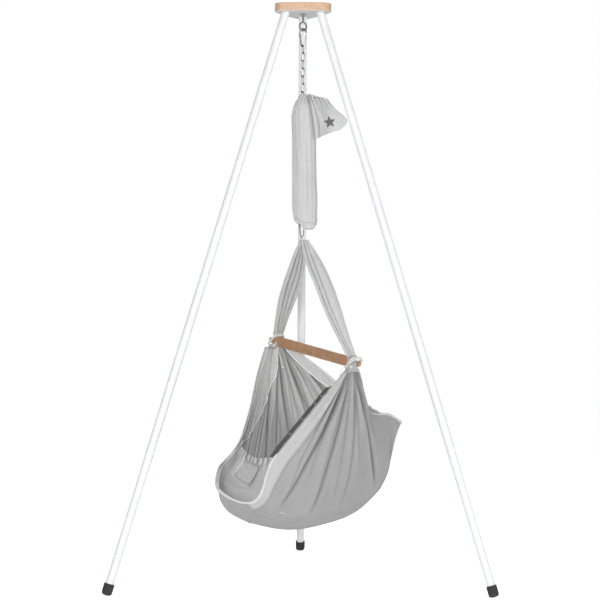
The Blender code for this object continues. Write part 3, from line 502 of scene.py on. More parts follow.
def cord_curve(name, points, radius, material, closed=False, sides=4):
    """A round cord along places close together."""
    curve = bpy.data.curves.new(name, "CURVE")
    curve.dimensions = "3D"
    curve.bevel_depth = radius
    curve.bevel_resolution = sides
    curve.use_fill_caps = not closed
    spline = curve.splines.new("POLY")
    spline.points.add(len(points) - 1)
    for point, place in zip(spline.points, points):
        point.co = (*place, 1.0)
    spline.use_cyclic_u = closed
    spline.use_smooth = True
    curve.materials.append(material)
    return link(name, curve)


def as_mesh(obj):
    """The same piece as a plain mesh."""
    depsgraph = bpy.context.evaluated_depsgraph_get()
    mesh = bpy.data.meshes.new_from_object(obj.evaluated_get(depsgraph))
    name = obj.name
    material = obj.data.materials[0]
    bpy.data.objects.remove(obj, do_unlink=True)
    mesh.materials.clear()
    mesh.materials.append(material)
    mesh.shade_smooth()
    made = link(name, mesh)
    return made


def piece(obj, body, slot, *nodes):
    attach(obj, body)
    if nodes:
        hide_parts(*nodes)
    return obj


def stitches(name, path, out, material, length=0.0034, gap=0.0022, radius=0.00045):
    """Short threads along a path of places, each lifted by out (the normals)."""
    path, out = np.asarray(path), unit(np.asarray(out))
    steps = np.linalg.norm(np.diff(path, axis=0), axis=1)
    run = np.concatenate(((0.0,), np.cumsum(steps)))
    starts = np.arange(gap, run[-1] - length, length + gap)
    verts, faces = [], []
    for start in starts:
        ends = []
        for place in (start, start + length * 0.5, start + length):
            centre = np.array([np.interp(place, run, path[:, k]) for k in range(3)])
            up = unit(np.array([np.interp(place, run, out[:, k]) for k in range(3)]))
            ends.append((centre, up))
        ahead = unit(ends[2][0] - ends[0][0])
        base = len(verts)
        for number, (centre, up) in enumerate(ends):
            side = np.cross(ahead, up)
            lift = radius * (1.0 if number == 1 else -0.6)
            for angle in (0.0, 90.0, 180.0, 270.0):
                turn = math.radians(angle)
                verts.append(centre + up * (lift + radius * math.sin(turn)) + side * radius * math.cos(turn))
        for ring in range(2):
            for k in range(4):
                low, high = base + ring * 4 + k, base + ring * 4 + (k + 1) % 4
                faces.append((low, high, high + 4, low + 4))
        faces.append(tuple(base + k for k in (3, 2, 1, 0)))
        faces.append(tuple(base + 8 + k for k in (0, 1, 2, 3)))
    mesh = bpy.data.meshes.new(name)
    mesh.from_pydata([tuple(v) for v in verts], [], faces)
    mesh.shade_smooth()
    mesh.materials.append(material)
    return link(name, mesh)


# ---------------------------------------------------------------- looks

# Where crease is set, painted shade darkens the fold valleys of that cloth, down to valley.
COTTON = cotton("cotton_outside", 0.33, crease=True, valley=0.42)
# A lighter copy of the panel cotton, as painted light against the shade inside the hammock.
COTTON_INSIDE_PAINTED_LIGHT = cotton("cotton_inside_painted_light", 0.53, crease=True, valley=0.36)
COTTON_PALE = cotton("cotton_turned_strip", 0.56)
COTTON_HEM = cotton("cotton_hem", 0.42)
COTTON_COVER = cotton("cotton_cover", 0.46, crease=True)
# The left strap and its bundle get a darker copy of the strap cotton, as painted shade.
COTTON_STRAP_PAINTED_SHADE = cotton("cotton_left_strap_painted_shade", 0.46, crease=True)
COTTON_STRAP_PALE = cotton("cotton_right_strap", 0.49, crease=True)
COTTON_LINER = cotton("cotton_liner", 0.86, crease=True)
COTTON_PAD = cotton("cotton_pad", 0.84, weave_map=None, rumple=0.0010)
WEBBING = webbing("webbing_dark")
CORD = cord_look("cord_white")
THREAD = thread_look("thread_white", 0.85)
THREAD_GREY = thread_look("thread_grey", 0.30)
STEEL = zinc("zinc_wire", 0.34)

make_camera()


# ---------------------------------------------------------------- places shared with the part

def about_axis(x, y, z):
    return Vector((x, y + STAND_Y, z))


def hammock_place(along, across, height):
    return about_axis(HAMMOCK_X + along * math.cos(HAMMOCK_YAW) + across * math.sin(HAMMOCK_YAW),
                      HAMMOCK_Y + along * math.sin(HAMMOCK_YAW) - across * math.cos(HAMMOCK_YAW), height)


FAR_TIE = hammock_place(0.0, -TIE_ACROSS, BAR_Z_FAR)
NEAR_TIE = hammock_place(0.0, TIE_ACROSS, BAR_Z_NEAR)
BAR_ALONG = (NEAR_TIE - FAR_TIE).normalized()
BAR_SIDE = Vector((0, 0, 1)).cross(BAR_ALONG).normalized()
BAR_LEVEL = Vector((BAR_ALONG.x, BAR_ALONG.y, 0)).normalized()


def cloth_cage():
    rows = []
    for number, line in enumerate(CLOTH_LINES):
        share = -1.0 + 2.0 * number / (len(CLOTH_LINES) - 1)
        far = (FAR_TOP[0] + share * FAR_SPREAD, FAR_TOP[1], FAR_TOP[2])
        near = (NEAR_TOP[0] + share * NEAR_SPREAD, NEAR_TOP[1], NEAR_TOP[2])
        rows.append([tuple(hammock_place(*point)) for point in (far, *line, near)])
    return np.array(rows)


CAGE = cloth_cage()


def plain_cloth(c, t):
    """The cloth's smooth surface at arrays c and t of one shape."""
    c, t = np.broadcast_arrays(np.asarray(c, float), np.asarray(t, float))
    across = spline_weights(7, c.reshape(-1) * 6)
    down = spline_weights(7, t.reshape(-1))
    return np.einsum("na,nb,abk->nk", across, down, CAGE).reshape(*c.shape, 3)


def plain_normal(c, t):
    """Unit normals that point into the hammock."""
    step = 0.004
    along = plain_cloth(c + step, t) - plain_cloth(c - step, t)
    down = plain_cloth(c, t + step * 6) - plain_cloth(c, t - step * 6)
    return unit(np.cross(down, along))


def creases(top, rows):
    """Creases from a tie at t = top: c there, c and t at the foot, depth at both ends, half width."""
    made = []
    for tie, foot, reach, first, last, half in rows:
        route = tuple((tie + (foot - tie) * share, top + (reach - top) * share) for share in (0.0, 0.5, 1.0))
        made.append((route, first, last, half))
    return tuple(made)


NEAR_CREASES = creases(5.95, (
    (0.20, 0.15, 5.2, 0.006, 0.002, 0.007),
    (0.30, 0.20, 4.3, 0.011, 0.006, 0.008),
    (0.40, 0.35, 4.2, 0.010, 0.006, 0.008),
    (0.55, 0.50, 4.1, 0.006, 0.003, 0.008),
    (0.70, 0.70, 4.3, 0.016, 0.009, 0.011),
    (0.85, 0.80, 4.9, 0.007, 0.002, 0.008),
))
# The far side's folds are evenly fanned, every second one long and deep.
FAR_FOLDS = 8
FAR_CREASES = creases(0.03, [
    (0.28 + 0.077 * number, 0.34 + 0.072 * number, *((1.5, 0.010, 0.002, 0.009) if number % 2 else
                                                     (1.0, 0.006, 0.001, 0.008)))
    for number in range(FAR_FOLDS)])


def long_folds(count, seed, top, reach, first, last, half):
    """Long thin folds fanned out from a tie, between the ones that are set out above."""
    rng = np.random.default_rng(seed)
    folds = []
    for number in range(count):
        start = (number + 0.5) / count + rng.uniform(-0.25, 0.25) / count
        drift = rng.uniform(-0.035, 0.035)
        foot = reach[0] + (reach[1] - reach[0]) * rng.uniform(0, 1)
        route = tuple((start + drift * share ** 1.5, top + (foot - top) * share)
                      for share in (0.0, 0.35, 0.7, 1.0))
        deep = rng.uniform(0.55, 1.0)
        folds.append((route, first * deep, last * deep, half * rng.uniform(0.7, 1.2)))
    return tuple(folds)


NEAR_CREASES += long_folds(10, 101, 5.97, (4.3, 5.2), 0.0070, 0.0020, 0.0070)
FAR_CREASES += long_folds(30, 102, 0.03, (1.0, 2.0), 0.0062, 0.0026, 0.0042)


def crease_depths(c, t, width_at, creases):
    """How far creases push the cloth back, and how much painted shade darkens them, at places (c, t)."""
    push = np.zeros(c.shape)
    dark = np.zeros(c.shape)
    for route, first, last, half in creases:
        cs, ts = np.array(route).T
        order = np.argsort(ts)
        middle = np.interp(t, ts[order], cs[order])
        low, high = ts.min(), ts.max()
        share = np.clip((t - ts[0]) / (ts[-1] - ts[0]), 0, 1)
        depth = first + (last - first) * share
        fade = smooth(t, low - 0.25, low + 0.12) * (1 - smooth(t, high - 0.12, high + 0.25))
        away = (c - middle) * width_at / half
        valley = np.exp(-np.abs(away) ** 1.5)
        shoulder = np.exp(-((away - 2.1) / 1.3) ** 2) + 0.7 * np.exp(-((away + 2.1) / 1.5) ** 2)
        push += depth * fade * (valley - 0.45 * shoulder)
        dark += fade * np.exp(-np.abs(away * 1.3) ** 1.3) * np.clip(depth / 0.010, 0.25, 1.0)
    return push, dark


NEAR_BULGE = 0.012
FAR_TUCK = 0.015


def cloth_width(c, t):
    """How many metres one whole step of c covers at (c, t)."""
    step = 0.02
    return np.linalg.norm(plain_cloth(c + step, t) - plain_cloth(c - step, t), axis=-1) / (2 * step)


def cloth_look(c, t):
    """Places, normals and painted crease shade of the cloth with its folds."""
    c, t = np.broadcast_arrays(np.asarray(c, float), np.asarray(t, float))
    place, normal = plain_cloth(c, t), plain_normal(c, t)
    width = cloth_width(c, t)
    near_push, near_painted_shade = crease_depths(c, t, width, NEAR_CREASES)
    far_push, far_painted_shade = crease_depths(c, t, width, FAR_CREASES)
    far_gather = 1 - smooth(t, 0.0, 1.25)
    near_gather = smooth(t, 4.9, 6.0)
    fine = soft_noise(c * 17 + 3, t * 0.55, 7) + 0.5 * soft_noise(c * 37, t * 0.8 + 9, 8)
    rumple = soft_noise(c * 9, t * 1.9, 11) + 0.5 * soft_noise(c * 21, t * 3.7, 12)
    middle = np.exp(-((t - 3.0) / 1.4) ** 2)
    push = near_push - far_push
    broad = soft_noise(c * 12 + 5, t * 0.35, 9)
    near_reach = smooth(t, 4.0, 4.9)
    push = push + fine * (0.0034 * far_gather + 0.0030 * near_gather)
    push = push + broad * (0.0052 * near_reach + 0.0030 * (1 - smooth(t, 0.3, 1.7)))
    push = push + rumple * (0.0011 + 0.0012 * middle)
    edge = smooth(c, 0.0, 0.02) * (1 - smooth(c, 0.98, 1.0))
    push = push * (0.35 + 0.65 * edge)
    # The far side's head edge swings out below the tie, and the near side's in its middle.
    bulge = np.exp(-((t - 0.42) / 0.30) ** 2) * (1 - smooth(c, 0.0, 0.5)) * 0.013
    bulge = bulge - FAR_TUCK * np.exp(-((t - 1.72) / 0.32) ** 2) * (1 - smooth(c, 0.0, 0.15))
    bulge = bulge + np.exp(-((t - 4.98) / 0.40) ** 2) * (1 - smooth(c, 0.0, 0.4)) * NEAR_BULGE
    out = unit(plain_cloth(np.zeros_like(c), t) - plain_cloth(np.full_like(c, 0.1), t))
    gathered = 1 - 0.55 * smooth(t, 5.45, 5.95) - 0.45 * (1 - smooth(t, 0.05, 0.45))
    # Painted light and shade: ridges are painted paler and valleys darker, on the side that shows.
    painted_fold_light_and_shade = (np.clip(push * np.where(t > 3.0, 1.0, -1.0) / 0.006, -1, 1)
              * (0.25 + 0.75 * np.abs(t - 3.0) / 3.0))
    dark = np.clip(0.22 + 0.22 * painted_fold_light_and_shade + np.clip(near_painted_shade + far_painted_shade, 0, 1) * gathered, 0, 1)
    away = unit(plain_cloth(np.ones_like(c), t) - plain_cloth(np.full_like(c, 0.9), t))
    swing = np.exp(-((t - 0.40) / 0.32) ** 2) * smooth(c, 0.55, 1.0) * 0.009
    return place + normal * push[..., None] + out * bulge[..., None] + away * swing[..., None], normal, dark


def cloth_strip(c_from, c_to, t_from, t_to, across, down):
    """Grids of c and t; c_from and c_to are numbers or ((t, c), ...) routes."""
    t = np.linspace(t_from, t_to, down)[None, :]
    share = np.linspace(0, 1, across)[:, None]

    def at(route):
        if isinstance(route, (int, float)):
            return np.full(t.shape, float(route))
        ts, cs = np.array(route).T
        return np.interp(t, ts, cs)
    c = at(c_from) + (at(c_to) - at(c_from)) * share
    return c, np.broadcast_to(t, c.shape)


def cloth_piece(name, c_from, c_to, t_from, t_to, across, down, lift, thickness, material, dark=True):
    # dark: whether the cloth's colour gets its painted crease shade.
    c, t = cloth_strip(c_from, c_to, t_from, t_to, across, down)
    places, normals, shade = cloth_look(c, t)
    return shell(name, places + normals * lift, thickness, material, crease=shade if dark else None)


# ---------------------------------------------------------------- free cords

def tail_route(tie, route):
    return curve_through([tuple(tie + Vector(step)) for step in route], np.linspace(0, 1, 30))


def knot_curve(name, centre, axis, size, radius, material):
    """An overhand knot pulled up small: a trefoil about axis."""
    axis = Vector(axis).normalized()
    first = axis.orthogonal().normalized()
    second = axis.cross(first)
    places = []
    for step in range(48):
        turn = 2 * math.pi * step / 48
        reach = size * (0.62 + 0.38 * math.cos(3 * turn))
        places.append(Vector(centre) + first * reach * math.cos(2 * turn)
                      + second * reach * math.sin(2 * turn) + axis * size * 0.75 * math.sin(3 * turn))
    return cord_curve(name, places, radius, material, closed=True)


def make_tails():
    for side, tie, route in (("left", FAR_TIE, LEFT_TAIL), ("right", NEAR_TIE, RIGHT_TAIL)):
        places = tail_route(tie, route)
        tail = cord_curve(f"{side}_tail", places, TAIL_R, CORD)
        piece(tail, "hammock", "white_cord", f"{side}_tie_tail")
        end = Vector(places[-1])
        ahead = (end - Vector(places[-2])).normalized()
        knot = knot_curve(f"{side}_end_knot", end + ahead * 0.003, ahead, 0.0032, 0.0015, CORD)
        piece(knot, "hammock", "white_cord", f"{side}_tail_knot")


make_tails()


# ---------------------------------------------------------------- hammock

def straight(start, end, count=8):
    """Evenly spaced (t, c) places on a straight seam."""
    return [(start[0] + (end[0] - start[0]) * share, start[1] + (end[1] - start[1]) * share)
            for share in np.linspace(0, 1, count)]


HEAD_STRIP = straight((0.0, 0.50), (1.15, 0.15))
FOOT_STRIP = straight((0.0, 0.75), (0.75, 0.88))
NEAR_HEM = straight((3.79, 0.07), (4.5, 0.07), 4)[:-1] + straight((4.5, 0.07), (5.97, 0.18))


def make_panels():
    far = cloth_piece("far_side", 0.0, 1.0, 0.0, FAR_SEAM, 300, 150, 0.0015, 0.0026, COTTON_INSIDE_PAINTED_LIGHT)
    near = cloth_piece("near_side", 0.0, 1.0, NEAR_SEAM, LAST, 300, 150, 0.0015, 0.0026, COTTON)
    base = cloth_piece("base", 0.0, 1.0, FAR_SEAM + 0.004, NEAR_SEAM - 0.004, 240, 120, 0.0015, 0.0026,
                       COTTON)
    piece(far, "hammock", "dark_grey_cotton", "far_side_panel", "far_head_belly", "far_foot_belly")
    piece(near, "hammock", "grey_cotton", "near_side_panel")
    piece(base, "hammock", "grey_cotton", "base_panel")
    return far, near, base


def line_on_cloth(route, count, lift):
    """Places on the cloth along a (c, t) route, with the normals there."""
    line = curve_through(route, np.linspace(0, 1, count))
    places, normals, _ = cloth_look(line[:, 0], line[:, 1])
    return places + normals * lift, normals


def overlock(name, route, lift, slot):
    """A seam of looped white thread along a route, over and over the cloth's edge."""
    places, normals = line_on_cloth(route, 400, lift)
    ahead = unit(np.gradient(places, axis=0))
    side = np.cross(ahead, normals)
    steps = np.concatenate(((0,), np.cumsum(np.linalg.norm(np.diff(places, axis=0), axis=1))))
    count = int(steps[-1] / 0.0012)
    at = np.linspace(0, steps[-1], count)

    def sampled(values):
        return np.stack([np.interp(at, steps, values[:, k]) for k in range(3)], 1)
    zig = np.where(np.arange(count) % 2 == 0, 1.0, -1.0)[:, None] * 0.0024
    raised = np.sign(lift) * 0.0004
    path = sampled(places) + sampled(side) * zig + sampled(normals) * raised
    thread = as_mesh(cord_curve(name, path, 0.0009, THREAD, sides=1))
    piece(thread, "hammock", slot)
    core = as_mesh(cord_curve(f"{name}_core", sampled(places)[::3], 0.0020, THREAD, sides=2))
    piece(core, "hammock", slot)


def make_bands():
    head = cloth_piece("far_head_band", -0.004, HEAD_STRIP, 0.02, 1.12, 40, 110, 0.0040, 0.0016,
                       COTTON_PALE)
    foot = cloth_piece("far_foot_band", FOOT_STRIP, 1.004, 0.02, 0.72, 24, 80, 0.0040, 0.0016,
                       COTTON_PALE)
    hem = cloth_piece("near_head_band", -0.004, NEAR_HEM, 3.80, 5.97, 30, 200, -0.0012, 0.0016,
                      COTTON_HEM)
    for obj in (head, foot, hem):
        piece(obj, "hammock", "pad_cotton")
    overlock("far_head_overlock", [(c + 0.004, t) for t, c in HEAD_STRIP[:-1]], 0.0068, "pad_cotton")
    overlock("far_foot_overlock", [(c - 0.004, t) for t, c in FOOT_STRIP], 0.0068, "pad_cotton")
    # A dark grey cord along the hem band's edge, laid as painted shadow.
    welt("near_hem_painted_shadow", [(c + 0.002, t) for t, c in NEAR_HEM], 0.0010, -0.0016, THREAD_GREY, "pad_cotton")
    for number, inset in enumerate((0.010, -0.018)):
        route = [(c - inset, t) for t, c in NEAR_HEM]
        places, normals = line_on_cloth(route, 300, -0.0022 if inset > 0 else -0.0004)
        piece(stitches(f"near_hem_stitch_{number + 1}", places, -normals, THREAD_GREY), "hammock",
              "pad_cotton")
    welt("small_stitch", [(c, t) for t, c in straight((4.05, 0.21), (4.03, 0.24), 4)], 0.0006, -0.0026,
         THREAD, "grey_cotton", 20)
    return head, foot, hem


def welt(name, route, radius, lift, material, slot, count=200):
    """A rounded seam that stands a little proud of the cloth."""
    places, _ = line_on_cloth(route, count, lift)
    seam = as_mesh(cord_curve(name, places, radius, material, sides=2))
    return piece(seam, "hammock", slot)


def make_seams():
    welt("far_seam", [(c, FAR_SEAM) for c in np.linspace(0.0, 1.0, 12)], 0.0022, 0.001, COTTON, "grey_cotton")
    welt("near_seam", [(c, NEAR_SEAM) for c in np.linspace(0.0, 1.0, 12)], 0.0012, 0.0, COTTON, "grey_cotton")
    for number, shift in enumerate((0.07, -0.07)):
        places, normals = line_on_cloth([(c, NEAR_SEAM + shift) for c in np.linspace(0.02, 0.98, 12)], 600,
                                        -0.0003)
        piece(stitches(f"near_seam_stitch_{number + 1}", places, -normals, THREAD_GREY), "hammock",
              "grey_cotton")
    welt("shell_seam", [(c, t) for t, c in straight((4.2, 0.0), (3.0, 0.25))], 0.0018, 0.0,
         COTTON, "grey_cotton")
    # A quarter turn from the near side towards the head end.
    foot = [(0.77, 3.7)] + [(0.42 + 0.35 * math.cos(turn), 3.4 - 0.45 * math.sin(turn))
                            for turn in np.linspace(0, math.pi / 2, 6)]
    welt("foot_hem_seam", foot, 0.0020, 0.0, COTTON_PALE, "pad_cotton")
    places, normals = line_on_cloth([(c - 0.015, t + 0.03) for c, t in foot], 300, -0.0003)
    piece(stitches("foot_hem_stitch", places, -normals, THREAD_GREY), "hammock", "pad_cotton")


def lip(name, c, node):
    """A soft rolled hem round the cloth's head or foot end."""
    count = 220
    t = np.linspace(FAR_RIM - 0.02, NEAR_RIM + 0.02, count)
    ends = np.full(count, float(c))
    places, normals, _ = cloth_look(ends, t)
    inner = plain_cloth(np.full(count, 0.02 if c == 0.0 else 0.98), t)
    out = unit(plain_cloth(ends, t) - inner)
    ahead = unit(np.gradient(places, axis=0))
    up = np.cross(ahead, out)
    share = (t - t[0]) / (t[-1] - t[0])
    swell = 0.75 + 0.35 * np.sin(np.pi * share) + 0.16 * soft_noise(share * 23, share * 0, 31)
    wide = 0.0058 * swell
    tall = 0.0038 * swell * (1 + 0.2 * soft_noise(share * 17, share * 0 + 5, 32))
    sides = 20
    turn = np.linspace(0, 2 * np.pi, sides, endpoint=False)
    centre = places + normals * 0.0015 + out * (wide * 0.75)[:, None]
    rings = (centre[None] + out[None] * (np.cos(turn)[:, None] * wide)[..., None]
             + up[None] * (np.sin(turn)[:, None] * tall)[..., None])
    rings += unit(rings - centre[None]) * (0.0007 * soft_noise(
        np.arange(sides)[:, None] * 0.8, share[None] * 60, 33))[..., None]
    obj = tube_mesh(name, rings, COTTON_PALE)
    piece(obj, "hammock", "pad_cotton", node)
    spot = centre + out * (-wide * 0.95)[:, None] - normals * 0.0022
    piece(stitches(f"{name}_stitch", spot, -normals, THREAD_GREY), "hammock", "pad_cotton")
    return obj


def tube_mesh(name, rings, material):
    """A closed tube from a (sides, count, 3) array of rings, with flat ends."""
    rings = np.asarray(rings, float)
    sides, count = rings.shape[:2]
    index = np.arange(sides * count).reshape(sides, count)
    following = np.roll(index, -1, 0)
    faces = np.stack((index[:, :-1], index[:, 1:], following[:, 1:], following[:, :-1]), -1).reshape(-1, 4)
    mesh = bpy.data.meshes.new(name)
    ends = [tuple(int(i) for i in index[:, 0]), tuple(int(i) for i in index[::-1, -1])]
    mesh.from_pydata(rings.reshape(-1, 3).tolist(), [], faces.tolist() + ends)
    down = np.cumsum(np.linalg.norm(np.diff(rings, axis=1, prepend=rings[:, :1]), axis=-1), 1)
    ring = np.concatenate((rings, rings[:1]))
    around = np.cumsum(np.linalg.norm(np.diff(ring, axis=0), axis=-1), 0)
    place = np.stack((around, down), -1).reshape(-1, 2)
    weave = mesh.uv_layers.new(name="Weave")
    loops = np.empty(len(mesh.loops), int)
    mesh.loops.foreach_get("vertex_index", loops)
    weave.data.foreach_set("uv", place[loops].reshape(-1))
    mesh.shade_smooth()
    mesh.materials.append(material)
    bm = bmesh.new()
    bm.from_mesh(mesh)
    bmesh.ops.recalc_face_normals(bm, faces=bm.faces)
    bm.to_mesh(mesh)
    bm.free()
    return link(name, mesh)


def make_belt():
    """The dark closing belt on the near side's head edge, with its small snaps."""
    u = np.linspace(4.96, 5.80, 80)[None, :]
    s = np.linspace(0, 1, 7)[:, None]
    c = np.zeros((7, 80))
    t = np.broadcast_to(u, c.shape)
    edge = plain_cloth(c, t)
    out = unit(edge - plain_cloth(c + 0.02, t))
    normal = plain_normal(c, t)
    bow = np.sin(np.pi * (t - 4.93) / 0.87)
    swing = NEAR_BULGE * np.exp(-((t - 4.98) / 0.40) ** 2)
    places = edge + normal * 0.0015 + out * (0.004 + swing + 0.0185 * s + 0.003 * bow)[..., None]
    places += normal * (0.0012 * np.sin(t * 31.0))[..., None]
    belt = shell("belt", places, 0.0018, WEBBING)
    piece(belt, "hammock", "black_webbing", "closing_belt")
    snap_steel = zinc("snap_metal", 0.30)
    for number, along in enumerate((30, 46, 62, 70)):
        centre = places[3, along] - normal[3, along] * 0.0012
        snap = turned_piece(f"belt_snap_{number + 1}", centre, -normal[3, along],
                            ((0.0, 0.0012), (0.0010, 0.0012), (0.0015, 0.0008), (0.0021, 0.0011),
                             (0.0027, 0.0008), (0.0030, 0.0)), snap_steel)
        piece(snap, "hammock", "black_webbing")
    return belt


def turned_piece(name, centre, axis, profile, material, sides=20):
    """A small turned piece: (radius, height) pairs round an axis, closed below."""
    axis = Vector(axis).normalized()
    first = axis.orthogonal().normalized()
    second = axis.cross(first)
    bm = bmesh.new()
    rings = []
    for radius, height in (*profile, (profile[-1][0], -0.0006)):
        ring = []
        for k in range(sides):
            turn = 2 * math.pi * k / sides
            reach = max(radius, 0.0001)
            ring.append(bm.verts.new(Vector(centre) + axis * height
                                     + (first * math.cos(turn) + second * math.sin(turn)) * reach))
        rings.append(ring)
    for low, high in zip(rings, rings[1:]):
        for k in range(sides):
            bm.faces.new((low[k], low[(k + 1) % sides], high[(k + 1) % sides], high[k]))
    bm.faces.new(rings[0])
    bm.faces.new(list(reversed(rings[-1])))
    bmesh.ops.recalc_face_normals(bm, faces=bm.faces)
    mesh = bpy.data.meshes.new(name)
    bm.to_mesh(mesh)
    bm.free()
    mesh.shade_smooth()
    mesh.materials.append(material)
    return link(name, mesh)


# ---------------------------------------------------------------- padded pieces

PAD_C = (0.05, 0.90)
PAD_T = (2.30, 3.70)
POCKET_C = (0.17, 0.36)
POCKET_T = (1.24, 1.72)
POCKET_TURN = 0.25
LINER_C = (0.05, 0.45)
LINER_T = (1.08, 1.74)
POCKET_LIFT = 0.0110
LINER_END = 3.90


def turned_corners(cs, ts, turn):
    """Corners of a piece that is turned a little inside its room."""
    wide, tall = (cs[1] - cs[0]) * turn, (ts[1] - ts[0]) * turn
    return (cs[0] + wide, ts[0]), (cs[1], ts[0] + tall), (cs[1] - wide, ts[1]), (cs[0], ts[1] - tall)


POCKET = turned_corners(POCKET_C, POCKET_T, POCKET_TURN)


def between(corners, share, down):
    """Places (c, t) inside four corners: far head, far foot, near foot, near head."""
    weights = ((1 - share) * (1 - down), share * (1 - down), share * down, (1 - share) * down)
    return [sum(weight * corner[k] for weight, corner in zip(weights, corners)) for k in (0, 1)]


def closed_slab(name, corners, across, down, lift, thick_head, thick_foot, material):
    c, t = between(corners, np.linspace(0, 1, across)[:, None], np.linspace(0, 1, down)[None, :])
    share = (c - c.min()) / (c.max() - c.min())
    thick = thick_head + (thick_foot - thick_head) * share
    if thick_head > 0.01:
        side = (t - t.min()) / (t.max() - t.min())
        thick = thick * (0.25 + 0.75 * smooth(side, 0.0, 0.28) * (1 - smooth(side, 0.72, 1.0)))
        thick = thick * (0.40 + 0.60 * smooth(share, 0.0, 0.09))
    places = plain_cloth(c, t) + plain_normal(c, t) * (lift + thick / 2)[..., None]
    return shell(name, places, thick, material)


def swell(obj, voxel, cap, pressure=4.0):
    """Remeshes a slab and lets cloth under pressure fill it out, no point further than cap."""
    remesh = obj.modifiers.new("remesh", "REMESH")
    remesh.mode = "VOXEL"
    remesh.voxel_size = voxel
    bake_modifiers(obj)
    start = mesh_places(obj.data)
    puffed = obj.modifiers.new("cloth", "CLOTH")
    puffed.settings.use_pressure = True
    puffed.settings.uniform_pressure_force = pressure
    puffed.settings.effector_weights.gravity = 0.0
    puffed.point_cache.frame_start = 1
    puffed.point_cache.frame_end = 20
    scene = bpy.context.scene
    for number in range(1, 21):
        scene.frame_set(number)
    depsgraph = bpy.context.evaluated_depsgraph_get()
    end = mesh_places(obj.evaluated_get(depsgraph).data)
    obj.modifiers.clear()
    scene.frame_set(1)
    move = end - start
    far = np.linalg.norm(move, axis=1, keepdims=True)
    move *= np.minimum(1.0, cap / np.maximum(far, 1e-9))
    obj.data.vertices.foreach_set("co", (start + move).reshape(-1))
    obj.data.update()
    smooth_more = obj.modifiers.new("smooth", "SUBSURF")
    smooth_more.levels = 1
    smooth_more.render_levels = 1
    bake_modifiers(obj)


def mesh_places(mesh):
    places = np.empty(len(mesh.vertices) * 3)
    mesh.vertices.foreach_get("co", places)
    return places.reshape(-1, 3)


def bake_modifiers(obj):
    material = obj.data.materials[0]
    depsgraph = bpy.context.evaluated_depsgraph_get()
    mesh = bpy.data.meshes.new_from_object(obj.evaluated_get(depsgraph))
    obj.modifiers.clear()
    obj.data = mesh
    mesh.materials.clear()
    mesh.materials.append(material)
    mesh.shade_smooth()


def liner_top(c):
    return LINER_T[0] + 0.22 * smooth(c, 0.10, 0.42)


def liner_edge(t):
    return -0.004 + 1.4 * FAR_TUCK * np.exp(-((t - 1.72) / 0.32) ** 2)


def liner_patch(name, c, t):
    """A patch of the quilted liner. Its upper edge is gathered on an elastic."""
    c, t = np.broadcast_arrays(c, t)
    ruche = 1 - smooth(t - liner_top(c), 0.0, 0.22)
    wave = c * 190 + 2 * soft_noise(c * 22, t * 1.4, 83)
    free = 1 - smooth(t, 1.9, 2.25) * (1 - smooth(t, 3.8, 4.1)) * smooth(c, 0.02, 0.05)
    lift = 0.0048 + 0.0050 * ruche * (0.5 + 0.5 * np.cos(wave))
    lift = lift + free * (0.0014 + 0.0016 * soft_noise(c * 17, t * 5, 81))
    # Painted shade in the valleys of the gathered edge.
    dark = np.clip(0.8 * ruche * (0.5 - 0.5 * np.cos(wave)), 0, 1)
    return shell(name, plain_cloth(c, t) + plain_normal(c, t) * lift[..., None], 0.0022, COTTON_LINER,
                 crease=dark)


def make_pads():
    (c0, c1), (t0, t1) = (PAD_C[0] + 0.006, PAD_C[1] - 0.006), (PAD_T[0] + 0.02, PAD_T[1] - 0.02)
    pad = closed_slab("mattress", ((c0, t0), (c1, t0), (c1, t1), (c0, t1)), 60, 50, PAD_LIFT + 0.002, 0.019,
                      0.0055, COTTON_PAD)
    swell(pad, 0.0055, 0.006)
    piece(pad, "hammock", "pad_cotton", "lying_pad")

    u, v = np.linspace(0, 1, 120)[:, None], np.linspace(0, 1, 160)[None, :]
    c = LINER_C[0] + (LINER_C[1] - LINER_C[0]) * u
    side = liner_patch("mattress_side", c, liner_top(c) + (LINER_T[1] - liner_top(c)) * v)
    piece(side, "hammock", "pad_cotton", "pad_side")
    for name, t_from, t_to, c_to in (("liner_head", LINER_T[0], LINER_T[1], LINER_C[0]),
                                     ("liner_base", LINER_T[1], LINER_END, LINER_C[1])):
        t = t_from + (t_to - t_from) * v
        patch = liner_patch(name, liner_edge(t) + (c_to - liner_edge(t)) * u, t)
        piece(patch, "hammock", "pad_cotton")

    pocket = closed_slab("pillow_pocket_pad", POCKET, 40, 40, POCKET_LIFT + 0.0006, 0.0034, 0.0034,
                         COTTON_PAD)
    swell(pocket, 0.0028, 0.0030, 2.0)
    piece(pocket, "hammock", "pad_cotton", "pillow_pocket")
    # Dark outline stitching round the pocket, in a double row.
    for number, inset in enumerate((0.05, 0.12)):
        low, high = inset, 1 - inset
        turns = np.array(((low, low), (high, low), (high, high), (low, high), (low, low)))
        share, down = (np.interp(np.linspace(0, 4, 49), range(5), turns[:, k]) for k in (0, 1))
        line = np.stack(between(POCKET, share, down), 1)
        normals = plain_normal(line[:, 0], line[:, 1])
        places = plain_cloth(line[:, 0], line[:, 1]) + normals * (POCKET_LIFT + 0.0066)
        piece(stitches(f"pocket_stitch_{number + 1}", places, normals, THREAD_GREY, 0.0040, 0.0016, 0.0007),
              "hammock", "pad_cotton")
    return pad, side, pocket


# ---------------------------------------------------------------- straps and ties

